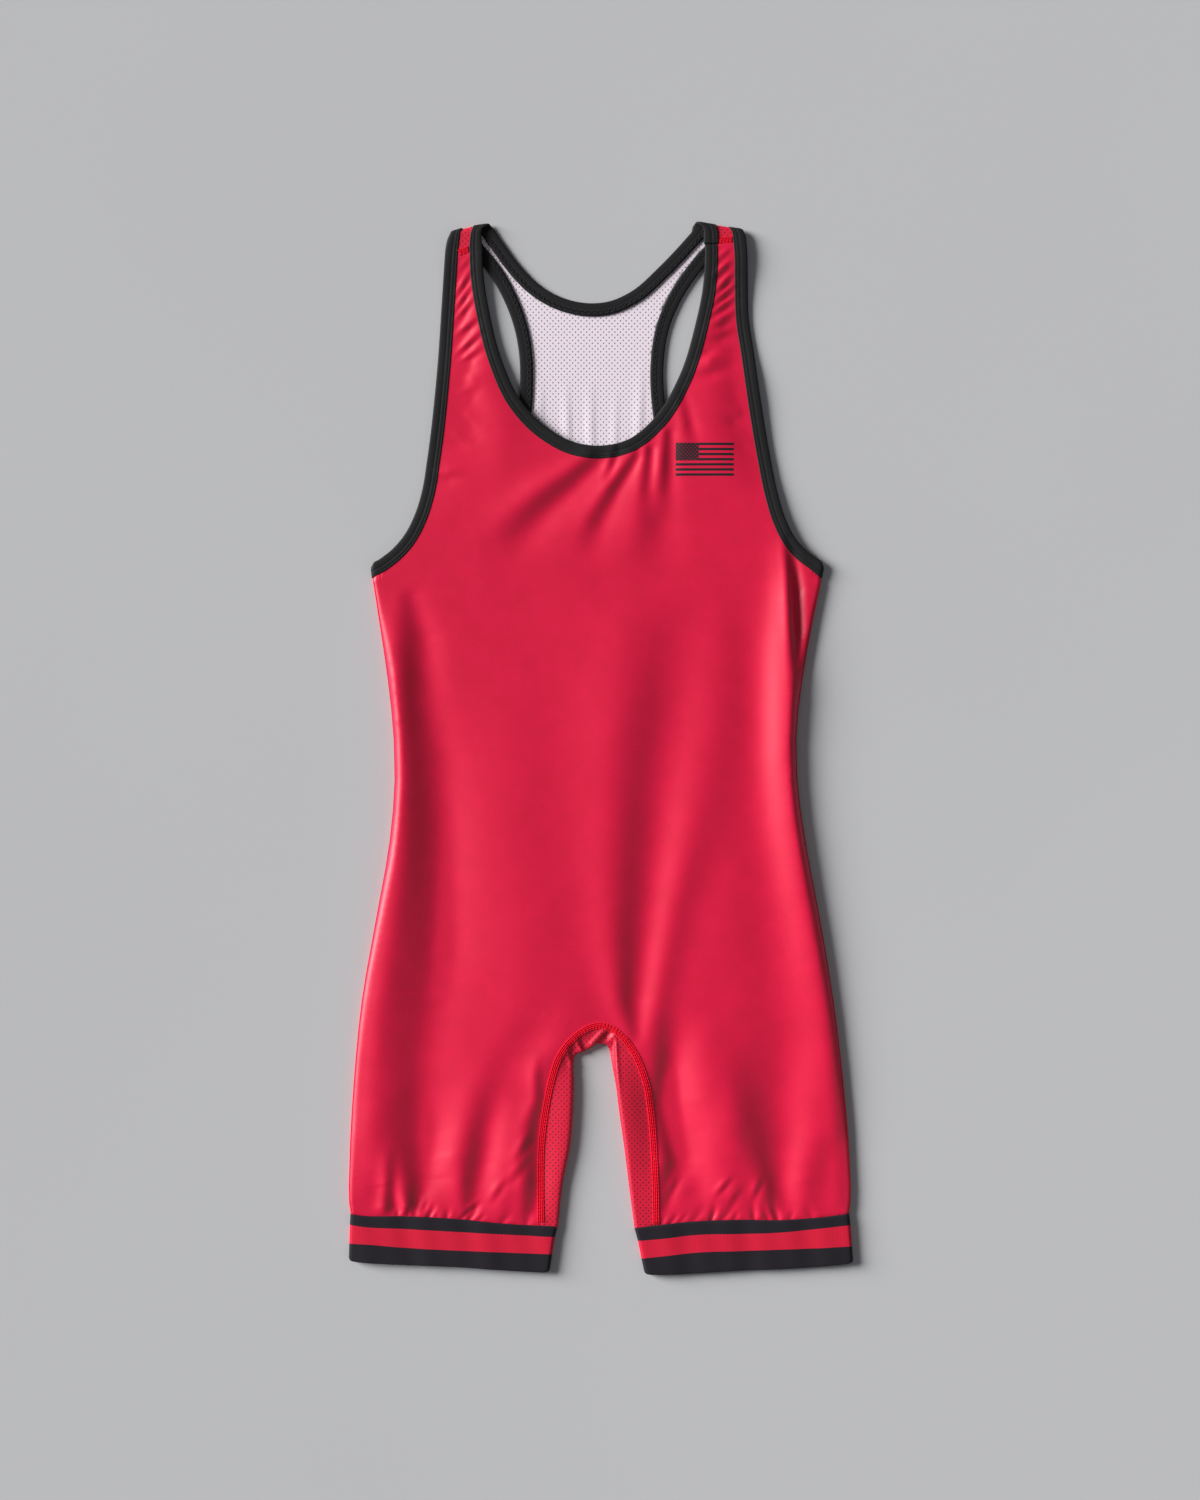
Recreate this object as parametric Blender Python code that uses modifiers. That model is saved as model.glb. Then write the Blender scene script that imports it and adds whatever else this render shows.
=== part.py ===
"""A wrestling singlet laid flat on its back.

Front panel, racerback, one gusset strip, two leg cuffs and three bindings, each its own closed wall.
The drawing is in millimetres: x runs to the wearer's left, y from the legs to the shoulders, z up from the
table. The back lies flat on the table. The front lies on it, joined to it round rolled edges.
"""

import math

import bpy
import numpy as np
from mathutils.geometry import delaunay_2d_cdt

MM = 0.001

# Driving dimensions, in millimetres.
CLOTH = 1.1
SEAM_GAP = 0.3
TIP_GAP = 0.55  # the gap under the arm, which the slant of the side seam narrows
STRAP_GAP = 0.62  # the gap on each side of a strap's opened end, which the slant of the bindings narrows
BINDING_WIDTH = 10.5
BINDING_THICKNESS = 2.0
BINDING_PROUD = 0.45  # how far a binding's face stands above the cloth beside it
CUFF_WALL = 1.5
CUFF_HEIGHT = 5.6  # both walls of a flattened cuff
SHOULDER_HEIGHT = 5.15  # the cloth of a strap, where it is folded at the top
SIDE_SEAM_LEVEL = 2.0  # the side seam runs part of the way up the rolled edge
SIDE_ROLL = 7.5  # the widest roll from a side seam up to the front
LEAST_ROLL = 1.3  # the lowest and narrowest
BACK_ROLL = SIDE_SEAM_LEVEL - SEAM_GAP / 2  # the radius of the back's quarter circle below the seam
FRONT_SPACING = 12.6
BACK_SPACING = 20.0
FRONT_INSETS = (0.04, 0.4, 1.7, 4.0, SIDE_ROLL)  # how far inside a side seam its roll is shaped
BACK_INSETS = (0.04, 0.1 * BACK_ROLL, 0.35 * BACK_ROLL, BACK_ROLL)
STANDING = 0.05  # sections this close to a side seam stand straight above it

# The front cloth's upper face above the table, and the lowest that a fold may press it there. It is low
# where a strap lies on the table, and higher where it crosses the bindings of the back.
# up, level, lowest, steps up to the next row
FRONT_LEVELS = (
    (422, 5.15, 5.15, 4),
    (398, 5.15, 5.10, 4),
    (372, 3.8, 3.0, 4),
    (345, 2.4, 1.8, 4),
    (322, 2.4, 1.8, 4),
    (294, 4.1, 3.9, 4),
    (250, 4.4, 3.6, 4),
    (150, 4.6, 3.6, 4),
    (100, 3.7, 2.6, 4),
    (40, 3.6, 2.6, 1),
    (-300, 3.6, 2.6, 4),
    (-350, 4.2, 3.1, 4),
    (-372, 4.9, 3.5, 2),
    (-386, 4.9, 3.5, 0),
)

# The folds of the front. Each is a line of places along its crest or trough.
# x, y, half width, rise (a trough has a negative one)
FOLDS = {
    "right side crest": (
        (-174, 119, 9, 0.6),
        (-162, 60, 13, 3.6),
        (-157, -17, 15, 4.4),
        (-160, -81, 15, 4.2),
        (-169, -145, 14, 3.2),
        (-179, -209, 13, 2.2),
        (-184, -275, 12, 1.2),
        (-188, -350, 12, 1.0),
    ),
    "left side crest": (
        (143, 168, 9, 0.4),
        (148, 119, 12, 3.8),
        (149, 55, 15, 4.6),
        (148, -9, 16, 4.6),
        (152, -57, 16, 4.2),
        (160, -113, 15, 3.6),
        (170, -169, 14, 2.8),
        (178, -225, 13, 1.9),
        (186, -300, 12, 1.0),
    ),
    "left side trough": (
        (153, 163, 4, 0),
        (157, 127, 5, -3.4),
        (158, 95, 5, -3.0),
        (156, 60, 4, 0),
    ),
    "right armhole sink": (
        (-127, 300, 20, 0),
        (-131, 262, 22, -1.6),
        (-138, 215, 20, -1.4),
        (-150, 178, 12, 0),
    ),
    "left armhole sink": (
        (120, 300, 20, 0),
        (124, 262, 22, -1.4),
        (133, 215, 20, -1.2),
        (145, 178, 12, 0),
    ),
    "middle trough": (
        (38, 90, 18, 0),
        (43, 39, 18, -0.7),
        (43, -25, 16, -1.0),
        (37, -81, 14, -1.2),
        (31, -121, 12, -1.2),
        (26, -161, 10, -1.2),
        (22, -200, 8, -1.0),
        (19, -219, 6, 0),
    ),
    "middle crest": (
        (72, 20, 22, 0),
        (70, -57, 19, 1.6),
        (62, -97, 15, 2.3),
        (54, -137, 12, 2.6),
        (48, -177, 10, 2.6),
        (44, -217, 8, 2.1),
        (46, -262, 7, 0.8),
        (51, -310, 7, 0),
    ),
    "long neck crest": ((-12, 232, 6, 0.8), (-49, 205, 9, 1.3), (-86, 176, 11, 0)),
    "long neck trough": ((4, 222, 6, -0.8), (-31, 190, 9, -0.8), (-66, 160, 11, 0)),
    "short neck crest": ((14, 230, 5, 0.8), (-4, 206, 7, 1.2), (-18, 178, 8, 0)),
    "short neck trough": ((24, 229, 5, -0.6), (10, 202, 7, -0.8), (-2, 168, 9, 0)),
    "upper neck crest": ((34, 238, 5, 0.8), (22, 206, 6, 1.0), (18, 180, 7, 0)),
    "flag side crest": ((49, 245, 5, 0.8), (44, 215, 6, 0.9), (42, 190, 7, 0)),
    "right thigh crest": ((-99, -225, 11, 0), (-116, -290, 13, 1.4), (-124, -350, 11, 1.0)),
    "right thigh trough": ((-76, -240, 9, 0), (-92, -300, 10, -0.9), (-98, -350, 9, -0.6)),
    "left thigh crest": ((100, -232, 11, 0), (115, -300, 13, 1.5), (119, -352, 11, 1.0)),
    "left thigh trough": ((128, -240, 9, 0), (141, -305, 10, -0.9), (147, -352, 9, -0.5)),
}

# The puckers where each leg is gathered on to its cuff.
GATHER_DEPTH = 1.3
GATHER_WIDTH = 2.6
GATHER_REACH = 15.0
RIGHT_GATHERS = (-169.6, -160, -152, -140.3, -133.2, -126.4, -116.4, -109.2, -96.4, -81, -59.6)
LEFT_GATHERS = (52.8, 68.8, 89.3, 97.6, 106.4, 117.6, 122.4, 128.8, 139.2, 148.8, 156.8)
GATHER_ROWS = (5, 12, 21)  # distances above the hem, of the sections that hold the puckers
GATHER_CLEAR = 2.0  # how far such a section ends from the side's roll and from the gusset

# The side seams, from the underarm to the cuff.
# up, right, left, sections up to the next row
SIDES = (
    (136.0, -182.8, 176.6, 2),
    (103.0, -177.6, 169.6, 2),
    (55.0, -170.4, 161.0, 2),
    (7.0, -165.6, 156.0, 1),
    (-25.0, -164.9, 156.8, 2),
    (-73.0, -168.8, 163.2, 3),
    (-137.0, -180.0, 175.2, 3),
    (-201.0, -191.2, 185.8, 3),
    (-265.0, -197.6, 193.6, 3),
    (-337.0, -201.3, 199.2, 2),
    (-362.0, -201.5, 199.6, 1),
    (-371.5, -200.2, 198.2, 0),
)

# Where each strap is folded over the shoulder: the two ends of the top edge, from the armhole to the neck,
# and how much of it each of the two bindings takes.
SHOULDERS = {
    "right": {"arm_end": (-119.8, 412.6), "neck_end": (-88.8, 419.6), "arm": 0.325, "neck": 0.435},
    "left": {"arm_end": (114.0, 412.4), "neck_end": (76.8, 420.4), "arm": 0.342, "neck": 0.39},
}

# Where the armhole bindings fold round the side, under the arms: the outer end and the end at the side seam.
UNDERARMS = {
    "right": {"outer": (-183.4, 144.8), "seam": (-182.8, 136.0)},
    "left": {"outer": (177.9, 146.2), "seam": (176.6, 136.0)},
}

# The middle of the neck binding, from the right shoulder seam round the front to the left one.
# x, y, sections up to the next row
NECK_FRONT = (
    (-99.7, 397.2, 2),
    (-98.2, 374.0, 2),
    (-93.6, 344.0, 2),
    (-84.4, 309.2, 3),
    (-68.8, 275.6, 3),
    (-45.4, 251.6, 2),
    (-20.8, 239.1, 1),
    (-4.6, 236.7, 2),
    (24.4, 242.4, 2),
    (46.0, 260.0, 3),
    (67.5, 295.9, 3),
    (80.5, 338.0, 2),
    (86.2, 367.0, 2),
    (87.8, 400.4, 0),
)

# The same round the back, from the left shoulder to the right one.
NECK_BACK = (
    (76.0, 409.0, 2),
    (63.6, 395.2, 2),
    (49.2, 380.4, 2),
    (27.2, 361.2, 2),
    (6.4, 352.2, 1),
    (-6.4, 350.8, 2),
    (-31.2, 355.0, 2),
    (-54.4, 368.0, 2),
    (-69.5, 383.5, 2),
    (-84.8, 404.4, 0),
)

# The middle of each armhole binding, down the front from the shoulder seam and back up to the shoulder.
# x, y, sections up to the next row
ARM_FRONT = {
    "right": (
        (-119.5, 393.2, 2),
        (-121.9, 358.8, 3),
        (-126.4, 294.8, 3),
        (-133.8, 230.0, 2),
        (-138.2, 203.4, 2),
        (-144.2, 184.1, 2),
        (-153.1, 167.0, 2),
        (-164.6, 154.0, 1),
        (-174.0, 146.8, 0),
    ),
    "left": (
        (110.2, 406.4, 2),
        (112.0, 374.8, 2),
        (113.0, 343.2, 1),
        (116.9, 317.4, 1),
        (120.0, 294.8, 3),
        (130.4, 230.8, 2),
        (135.9, 203.6, 2),
        (142.4, 182.0, 2),
        (151.4, 164.4, 2),
        (162.0, 153.2, 1),
        (169.4, 147.8, 0),
    ),
}
ARM_BACK = {
    "right": (
        (-170.0, 145.2, 2),
        (-136.8, 162.8, 2),
        (-104.8, 189.2, 2),
        (-80.8, 214.8, 2),
        (-67.2, 242.8, 2),
        (-60.8, 268.4, 2),
        (-59.6, 290.8, 1),
        (-59.8, 310.0, 2),
        (-63.6, 334.8, 2),
        (-72.0, 358.8, 2),
        (-83.2, 379.6, 2),
        (-100.8, 402.0, 0),
    ),
    "left": (
        (164.0, 145.0, 2),
        (123.2, 160.4, 2),
        (87.2, 186.8, 2),
        (63.2, 214.8, 2),
        (50.4, 246.8, 2),
        (45.8, 275.6, 2),
        (44.7, 306.0, 2),
        (50.0, 339.2, 1),
        (57.8, 358.0, 2),
        (68.8, 376.0, 1),
        (81.6, 392.4, 1),
        (93.5, 404.6, 0),
    ),
}

# The gusset, from the right cuff over the crotch to the left cuff: its seam and its folded edge.
# seam x, seam y, fold x, fold y, sections up to the next row
GUSSET = (
    (-48.0, -380.8, -34.6, -381.6, 2),
    (-48.2, -349.2, -30.6, -348.4, 2),
    (-47.6, -315.6, -24.4, -315.6, 2),
    (-43.8, -285.6, -22.1, -285.6, 2),
    (-39.2, -263.6, -21.7, -264.6, 1),
    (-33.6, -246.8, -21.9, -252.0, 1),
    (-26.4, -236.0, -20.4, -245.0, 2),
    (-16.8, -227.2, -14.8, -242.4, 2),
    (-8.0, -222.4, -8.8, -239.2, 2),
    (0.3, -221.2, -3.2, -236.4, 2),
    (8.8, -223.6, 2.4, -237.0, 2),
    (16.8, -230.0, 5.9, -240.2, 2),
    (25.2, -240.4, 8.2, -248.0, 1),
    (32.0, -254.8, 10.0, -258.0, 1),
    (36.4, -268.4, 11.8, -269.0, 2),
    (39.6, -289.0, 14.3, -289.0, 2),
    (42.1, -318.0, 18.4, -318.0, 2),
    (43.6, -351.6, 22.6, -351.6, 2),
    (44.1, -381.6, 26.6, -382.8, 0),
)
GUSSET_HEIGHT = 5.0  # the strip is folded over, front on back
RUFFLE_RISE = 0.9  # the small folds at the crotch
RUFFLE_RUN = 9.0  # from one of them to the next
RUFFLE_MIDDLE = (-4.0, -236.0)
RUFFLE_SPREAD = 16.0

# The corners of each cuff in plan, and how much lower than a straight line its bottom edge bows.
CUFFS = {
    "right": {
        "top": ((-200.2, -371.9), (-34.6, -382.1)),
        "bottom": ((-201.6, -408.8), (-41.2, -418.6)),
        "bow": 0.4,
    },
    "left": {
        "top": ((26.6, -383.3), (198.2, -371.9)),
        "bottom": ((35.0, -420.2), (201.6, -410.0)),
        "bow": 1.6,
    },
}

HALF_TURN = [math.radians(angle) for angle in range(0, 181, 30)]  # the sections round a fold
CHEST_RED = (0.68, 0.016, 0.058, 1)
MESH_RED = (0.55, 0.02, 0.06, 1)
CUFF_CHARCOAL = (0.022, 0.018, 0.024, 1)
BINDING_BLACK = (0.012, 0.012, 0.013, 1)


# Plane geometry.


def smooth(rows):
    """Sections on a smooth curve through the rows of a table, which ends in how many each row starts."""
    table = np.array(rows, float)
    points, steps = table[:, :-1], table[:, -1].astype(int)
    ends = 2 * points[0] - points[1], 2 * points[-1] - points[-2]
    knots = np.vstack([ends[0], points, ends[1]])
    lengths = np.linalg.norm(np.diff(knots, axis=0), axis=1)
    slopes = np.diff(knots, axis=0) / lengths[:, None]
    before, after = lengths[:-1, None], lengths[1:, None]
    tangents = (slopes[:-1] * after + slopes[1:] * before) / (before + after)
    found = []
    for i, count in enumerate(steps[:-1]):
        t = np.arange(count)[:, None] / count
        reach = lengths[i + 1]
        found.append(
            (2 * t**3 - 3 * t**2 + 1) * points[i]
            + (t**3 - 2 * t**2 + t) * reach * tangents[i]
            + (3 * t**2 - 2 * t**3) * points[i + 1]
            + (t**3 - t**2) * reach * tangents[i + 1]
        )
    return np.vstack([*found, points[-1:]])


def left_normals(path):
    """Unit directions to the left of a path, at each of its points."""
    ahead = np.gradient(path, axis=0)
    ahead /= np.linalg.norm(ahead, axis=1)[:, None]
    return np.stack([-ahead[:, 1], ahead[:, 0]], axis=1)


def between(start, end, share):
    return np.asarray(start, float) * (1 - share) + np.asarray(end, float) * share


def look_up(rows, up, column):
    """A column of a table whose first column falls, at any height."""
    table = smooth(rows)[::-1]
    return np.interp(up, table[:, 0], table[:, column])


def side_x(side, up):
    """A side seam's x at a height."""
    return look_up(SIDES, up, 1 if side == "right" else 2)


def nearest_place(points, rows):
    """The nearest place to each point on a line of rows that start with x and y, and how far away it is."""
    line = np.asarray(rows, float)
    starts, runs = line[:-1], np.diff(line, axis=0)
    along = ((points[:, None] - starts[None, :, :2]) * runs[None, :, :2]).sum(axis=2)
    share = np.clip(along / (runs[:, :2] ** 2).sum(axis=1), 0, 1)
    places = starts + share[..., None] * runs
    away = np.linalg.norm(points[:, None] - places[..., :2], axis=2)
    which = np.arange(len(points)), away.argmin(axis=1)
    return places[which], away[which]


def shoulder_line(side):
    """The two ends of a strap's top edge, and the way it faces."""
    arm_end, neck_end = (np.array(SHOULDERS[side][end]) for end in ("arm_end", "neck_end"))
    along = (neck_end - arm_end) / np.linalg.norm(neck_end - arm_end)
    facing = np.array((-along[1], along[0]))
    return arm_end, neck_end, facing * np.sign(facing[1])


# The height of the front.


def fold_rise(points, rows):
    """What one fold adds to the height at each point: a rounded crest or trough along a line of places."""
    place, away = nearest_place(points, rows)
    return place[:, 3] * np.exp(-((away / place[:, 2]) ** 2))


def inside_seams(points):
    """How far each point lies inside the nearer side seam."""
    across, up = points[:, 0], points[:, 1]
    return np.minimum(across - side_x("right", up), side_x("left", up) - across)


def hem_line(side, x):
    """The y of a cuff's top edge."""
    (x0, y0), (x1, y1) = CUFFS[side]["top"]
    return y0 + (x - x0) * (y1 - y0) / (x1 - x0)


def gather_dip(points):
    """How far the puckers above the cuffs press the cloth down."""
    dip = np.zeros(len(points))
    for side, places in (("right", RIGHT_GATHERS), ("left", LEFT_GATHERS)):
        above = np.maximum(points[:, 1] - hem_line(side, points[:, 0]), 0)
        for place in places:
            across = np.exp(-(((points[:, 0] - place) / GATHER_WIDTH) ** 2))
            dip += GATHER_DEPTH * across * np.exp(-((above / GATHER_REACH) ** 2))
    return dip


def front_height(points):
    """The height of the front cloth's upper face over each point of the table."""
    points = np.atleast_2d(np.asarray(points, float))[:, :2]
    level, lowest = (look_up(FRONT_LEVELS, points[:, 1], column) for column in (1, 2))
    free = level + sum(fold_rise(points, rows) for rows in FOLDS.values()) - gather_dip(points)
    seam = SIDE_SEAM_LEVEL + SEAM_GAP / 2
    sides = inside_seams(points)
    sides = np.where(points[:, 1] > SIDES[0][0] + BINDING_WIDTH, SIDE_ROLL, sides)
    free = np.maximum(free, np.where(sides < SIDE_ROLL, np.maximum(lowest, seam + LEAST_ROLL), lowest))
    share = np.clip(sides / np.clip(free - seam, LEAST_ROLL, SIDE_ROLL), 0, 1)
    return seam + (free - seam) * np.sqrt(1 - (1 - share) ** 2)


def back_height(points):
    """The lower face of the back: on the table, and curled up round a quarter circle at the side seams."""
    points = np.atleast_2d(np.asarray(points, float))[:, :2]
    sides = inside_seams(points)
    short = np.where(points[:, 1] > SIDES[0][0], 0, np.clip(BACK_ROLL - sides, 0, BACK_ROLL))
    return BACK_ROLL - np.sqrt(BACK_ROLL**2 - short**2)


def round_fold(edge, facing, top, turn, depth=0.0):
    """A point of a wall that rolls over an edge: turn 0 is its upper layer, pi its lower, depth inwards."""
    radius = top / 2
    reach = radius - depth
    x, y = edge + facing * (reach * math.sin(turn) - radius)
    return x, y, radius + reach * math.cos(turn)


# Bindings.


# share of the width from the free edge, depth below the outer face
BINDING_SECTION = (
    (0.0, 0.65),
    (0.07, 0.0),
    (0.975, 0.0),
    (1.0, 0.3),
    (1.0, BINDING_THICKNESS - 0.3),
    (0.975, BINDING_THICKNESS),
    (0.07, BINDING_THICKNESS),
    (0.0, BINDING_THICKNESS - 0.65),
)


def tape_edges(path, cloth_side):
    """The free edge and the cloth edge of a binding whose middle follows a path."""
    across = left_normals(path) * cloth_side
    return path - across * BINDING_WIDTH / 2, path + across * BINDING_WIDTH / 2


def tape_on_front(path, cloth_side):
    sections = []
    for free, cloth in zip(*tape_edges(path, cloth_side)):
        places = [between(free, cloth, share) for share, depth in BINDING_SECTION]
        tops = front_height(places) + BINDING_PROUD
        sections.append([(*place, top - row[1]) for place, top, row in zip(places, tops, BINDING_SECTION)])
    return sections


def tape_on_back(path, cloth_side):
    sections = []
    for free, cloth in zip(*tape_edges(path, cloth_side)):
        sections.append([(*between(free, cloth, share), depth) for share, depth in BINDING_SECTION])
    return sections


def tape_over_fold(free, cloth, facing, downwards=True):
    """The sections of a binding where it rolls over an edge of the garment."""
    inner = between(free, cloth, 0.5) - facing * SHOULDER_HEIGHT / 2
    top = front_height(inner)[0] + BINDING_PROUD
    edges = [(between(free, cloth, share), depth) for share, depth in BINDING_SECTION]
    sections = [[round_fold(edge, facing, top, turn, depth) for edge, depth in edges] for turn in HALF_TURN]
    return sections if downwards else sections[::-1]


def shoulder_ends(side, binding):
    """The free edge and the cloth edge of a binding on the top of a strap."""
    arm_end, neck_end, facing = shoulder_line(side)
    free, other = (arm_end, neck_end) if binding == "arm" else (neck_end, arm_end)
    return free, between(free, other, SHOULDERS[side][binding]), facing


def neck_sections():
    front, back = smooth(NECK_FRONT), smooth(NECK_BACK)
    return [
        *tape_on_front(front, -1),
        *tape_over_fold(*shoulder_ends("left", "neck")),
        *tape_on_back(back, 1),
        *tape_over_fold(*shoulder_ends("right", "neck"), downwards=False),
    ]


def arm_sections(side):
    front, back = smooth(ARM_FRONT[side]), smooth(ARM_BACK[side])
    outward = 1 if side == "left" else -1
    under = UNDERARMS[side]
    facing = np.array((outward, 0.0))
    return [
        *tape_on_front(front, -outward),
        *tape_over_fold(np.array(under["outer"]), np.array(under["seam"]), facing),
        *tape_on_back(back, outward),
        *tape_over_fold(*shoulder_ends(side, "arm"), downwards=False),
    ]


# Outlines of the panels.


def beside(path, cloth_side):
    """The edge of the cloth beside a binding."""
    return path + left_normals(path) * cloth_side * (BINDING_WIDTH / 2 + SEAM_GAP)


def gusset_table():
    return smooth(GUSSET)


def gusset_seam(offset):
    """The gusset seam, moved this far away from the legs' inner edges."""
    seam = gusset_table()[:, :2]
    return seam + left_normals(seam) * offset


def hem_points(side, with_gathers):
    """The edge of a leg at its cuff, from the gusset to the roll, with a section at each pucker and crest."""
    inner = gusset_seam(SEAM_GAP / 2)[0 if side == "right" else -1][0]
    outer = side_points(side, SIDE_ROLL)[-1][0]
    across = list(np.linspace(inner, outer, 9)[1:-1])
    if with_gathers:
        places = sorted(RIGHT_GATHERS if side == "right" else LEFT_GATHERS, key=lambda x: abs(x - inner))
        stops = [inner, *places, outer]
        crests = [(a + b) / 2 for a, b in zip(stops, stops[1:])]
        across = sorted([*places, *crests], key=lambda x: abs(x - inner))
    return np.array([(x, hem_line(side, x) + SEAM_GAP) for x in across])


def side_points(side, inset=0.0):
    """A side seam from the underarm down to the hem, or a line this far inside it."""
    inward = 1 if side == "right" else -1
    up = smooth(SIDES)[:, 0]
    up[0] -= TIP_GAP
    up[-1] = hem_line(side, side_x(side, up[-1]) + inward * inset) + SEAM_GAP
    return np.stack([side_x(side, up) + inward * inset, up], axis=1)


def joined(*lines):
    """One outline from several, without repeats where they meet."""
    points = [np.asarray(point, float) for line in lines for point in line]
    return np.array([p for p, q in zip(points, points[-1:] + points[:-1]) if np.linalg.norm(p - q) > 0.02])


def side_outline(side, insets):
    """The outline of a panel down a side seam, with the ends of the lines that shape its roll."""
    lines = [side_points(side, inset) for inset in insets]
    return [line[0] for line in lines[::-1]] + list(side_points(side)) + [line[-1] for line in lines]


def front_outline():
    right_arm = beside(smooth(ARM_FRONT["right"]), 1)
    left_arm = beside(smooth(ARM_FRONT["left"]), -1)
    neck = beside(smooth(NECK_FRONT), -1)
    return joined(
        right_arm,
        side_outline("right", FRONT_INSETS),
        hem_points("right", True)[::-1],
        gusset_seam(SEAM_GAP / 2),
        hem_points("left", True),
        side_outline("left", FRONT_INSETS)[::-1],
        left_arm[::-1],
        neck[::-1],
    )


def unfolded(point, side):
    """Where a point of a strap's front lies when the strap is opened flat, upwards from the back."""
    arm_end, _, facing = shoulder_line(side)
    radius = SHOULDER_HEIGHT / 2
    below = (arm_end - facing * radius - point) @ facing
    return point + facing * (2 * below + math.pi * radius)


def fold_places(edge, facing):
    """Places across the shoulder fold of an opened strap, from the back to the front."""
    return [edge + facing * (turn - 1) * SHOULDER_HEIGHT / 2 for turn in HALF_TURN]


def strap_outline(side):
    """The opened end of a strap beyond the back's own edges, from the arm side round to the neck side."""
    arm, neck = shoulder_ends(side, "arm"), shoulder_ends(side, "neck")
    seam_arm = beside(smooth(ARM_FRONT[side]), 1 if side == "right" else -1)[0]
    seam_neck = beside(smooth(NECK_FRONT), -1)[0 if side == "right" else -1]
    inward = (neck[1] - arm[1]) / np.linalg.norm(neck[1] - arm[1]) * STRAP_GAP
    seam = (seam_neck - seam_arm) / np.linalg.norm(seam_neck - seam_arm)
    above = np.array((-seam[1], seam[0])) * math.copysign(SEAM_GAP, seam[0])
    return [
        *fold_places(arm[1] + inward, arm[2]),
        unfolded(seam_arm + above + seam * SEAM_GAP, side),
        unfolded(seam_neck + above - seam * SEAM_GAP, side),
        *fold_places(neck[1] - inward, neck[2])[::-1],
    ]


def back_outline():
    right_arm = beside(smooth(ARM_BACK["right"]), -1)[::-1]
    left_arm = beside(smooth(ARM_BACK["left"]), 1)[::-1]
    neck = beside(smooth(NECK_BACK), 1)
    return joined(
        strap_outline("right")[::-1],
        right_arm,
        side_outline("right", BACK_INSETS),
        hem_points("right", False)[::-1],
        gusset_seam(SEAM_GAP / 2),
        hem_points("left", False),
        side_outline("left", BACK_INSETS)[::-1],
        left_arm[::-1],
        strap_outline("left"),
        neck,
    )


# Sheets of cloth.


def lattice(outline, spacing):
    """A staggered net of points over an outline's box."""
    low, high = outline.min(axis=0), outline.max(axis=0)
    rows = np.arange(low[1], high[1], spacing * math.sqrt(0.75))
    found = []
    for i, y in enumerate(rows):
        across = np.arange(low[0] + (i % 2) * spacing / 2, high[0], spacing)
        found += [(x, y) for x in across]
    return np.array(found)


def inside(points, outline):
    """Which points are inside a closed outline, by how often a line from each crosses it."""
    crossings = np.zeros(len(points), int)
    for a, b in zip(outline, np.roll(outline, -1, axis=0)):
        straddles = (a[1] > points[:, 1]) != (b[1] > points[:, 1])
        if straddles.any():
            meets = a[0] + (points[:, 1] - a[1]) * (b[0] - a[0]) / (b[1] - a[1] or 1)
            crossings += straddles & (points[:, 0] < meets)
    return crossings % 2 == 1


def clear_of(points, line, distance):
    """The points that lie at least this far from a line."""
    return points[nearest_place(points, line)[1] > distance]


def sheet(outline, spacing, sections):
    """A flat sheet inside an outline: points and triangles, through its sections and a net between them."""
    net = lattice(outline, spacing)
    net = clear_of(net[inside(net, outline)], np.vstack([outline, outline[:1]]), 0.45 * spacing)
    rim = len(outline)
    edges = [(i, (i + 1) % rim) for i in range(rim)]
    points = list(outline)
    for section in sections:
        net = clear_of(net, section, 0.55 * spacing)
        edges += [(len(points) + i, len(points) + i + 1) for i in range(len(section) - 1)]
        points += list(section)
    found = delaunay_2d_cdt([tuple(p) for p in [*points, *net]], edges, [tuple(range(rim))], 1, 1e-6)
    return np.array([tuple(p) for p in found[0]]), found[2]


def roll_sections(insets):
    """The lines inside both side seams that shape their rolled edges."""
    return [side_points(side, inset) for side in ("right", "left") for inset in insets]


def gather_sections():
    """Lines across each leg above its hem, through the puckers and the crests between them."""
    found = []
    for side in ("right", "left"):
        for above in GATHER_ROWS:
            line = hem_points(side, True) + (0, above)
            line = clear_of(line, side_points(side, SIDE_ROLL), GATHER_CLEAR)
            found.append(clear_of(line, gusset_seam(0), GATHER_CLEAR))
    return found


def shoulder_sections():
    """Lines over the shoulder fold of each opened strap."""
    found = []
    for side in ("right", "left"):
        arm, neck = shoulder_ends(side, "arm"), shoulder_ends(side, "neck")
        for share in (0.33, 0.67):
            found.append(np.array(fold_places(between(arm[1], neck[1], share), arm[2])))
    return found


def standing(flat):
    """The points in plan, with the sections just inside a side seam moved out straight above it."""
    flat = flat.copy()
    for side in ("right", "left"):
        edge = side_x(side, flat[:, 1])
        close = (np.abs(flat[:, 0] - edge) < STANDING) & (flat[:, 1] < SIDES[0][0])
        flat[close, 0] = edge[close]
    return flat


# Blender objects.


def material(name, colour, roughness):
    made = bpy.data.materials.new(name)
    made.use_nodes = True
    shader = made.node_tree.nodes["Principled BSDF"]
    shader.inputs["Base Color"].default_value = colour
    shader.inputs["Roughness"].default_value = roughness
    made.diffuse_color = colour
    return made


def add_object(name, points, faces, look, collection):
    """A named object from points in millimetres and faces listed anticlockwise as seen from outside."""
    mesh = bpy.data.meshes.new(name)
    mesh.from_pydata([tuple(float(v) * MM for v in p) for p in points], [], faces)
    mesh.shade_smooth()
    mesh.materials.append(look)
    made = bpy.data.objects.new(name, mesh)
    collection.objects.link(made)
    return made


def thicken(made, wall):
    """Gives a sheet its wall, inwards from its outer face."""
    solidify = made.modifiers.new("wall", "SOLIDIFY")
    solidify.thickness = wall * MM
    solidify.offset = -1
    solidify.use_even_offset = True
    solidify.use_quality_normals = True


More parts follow.
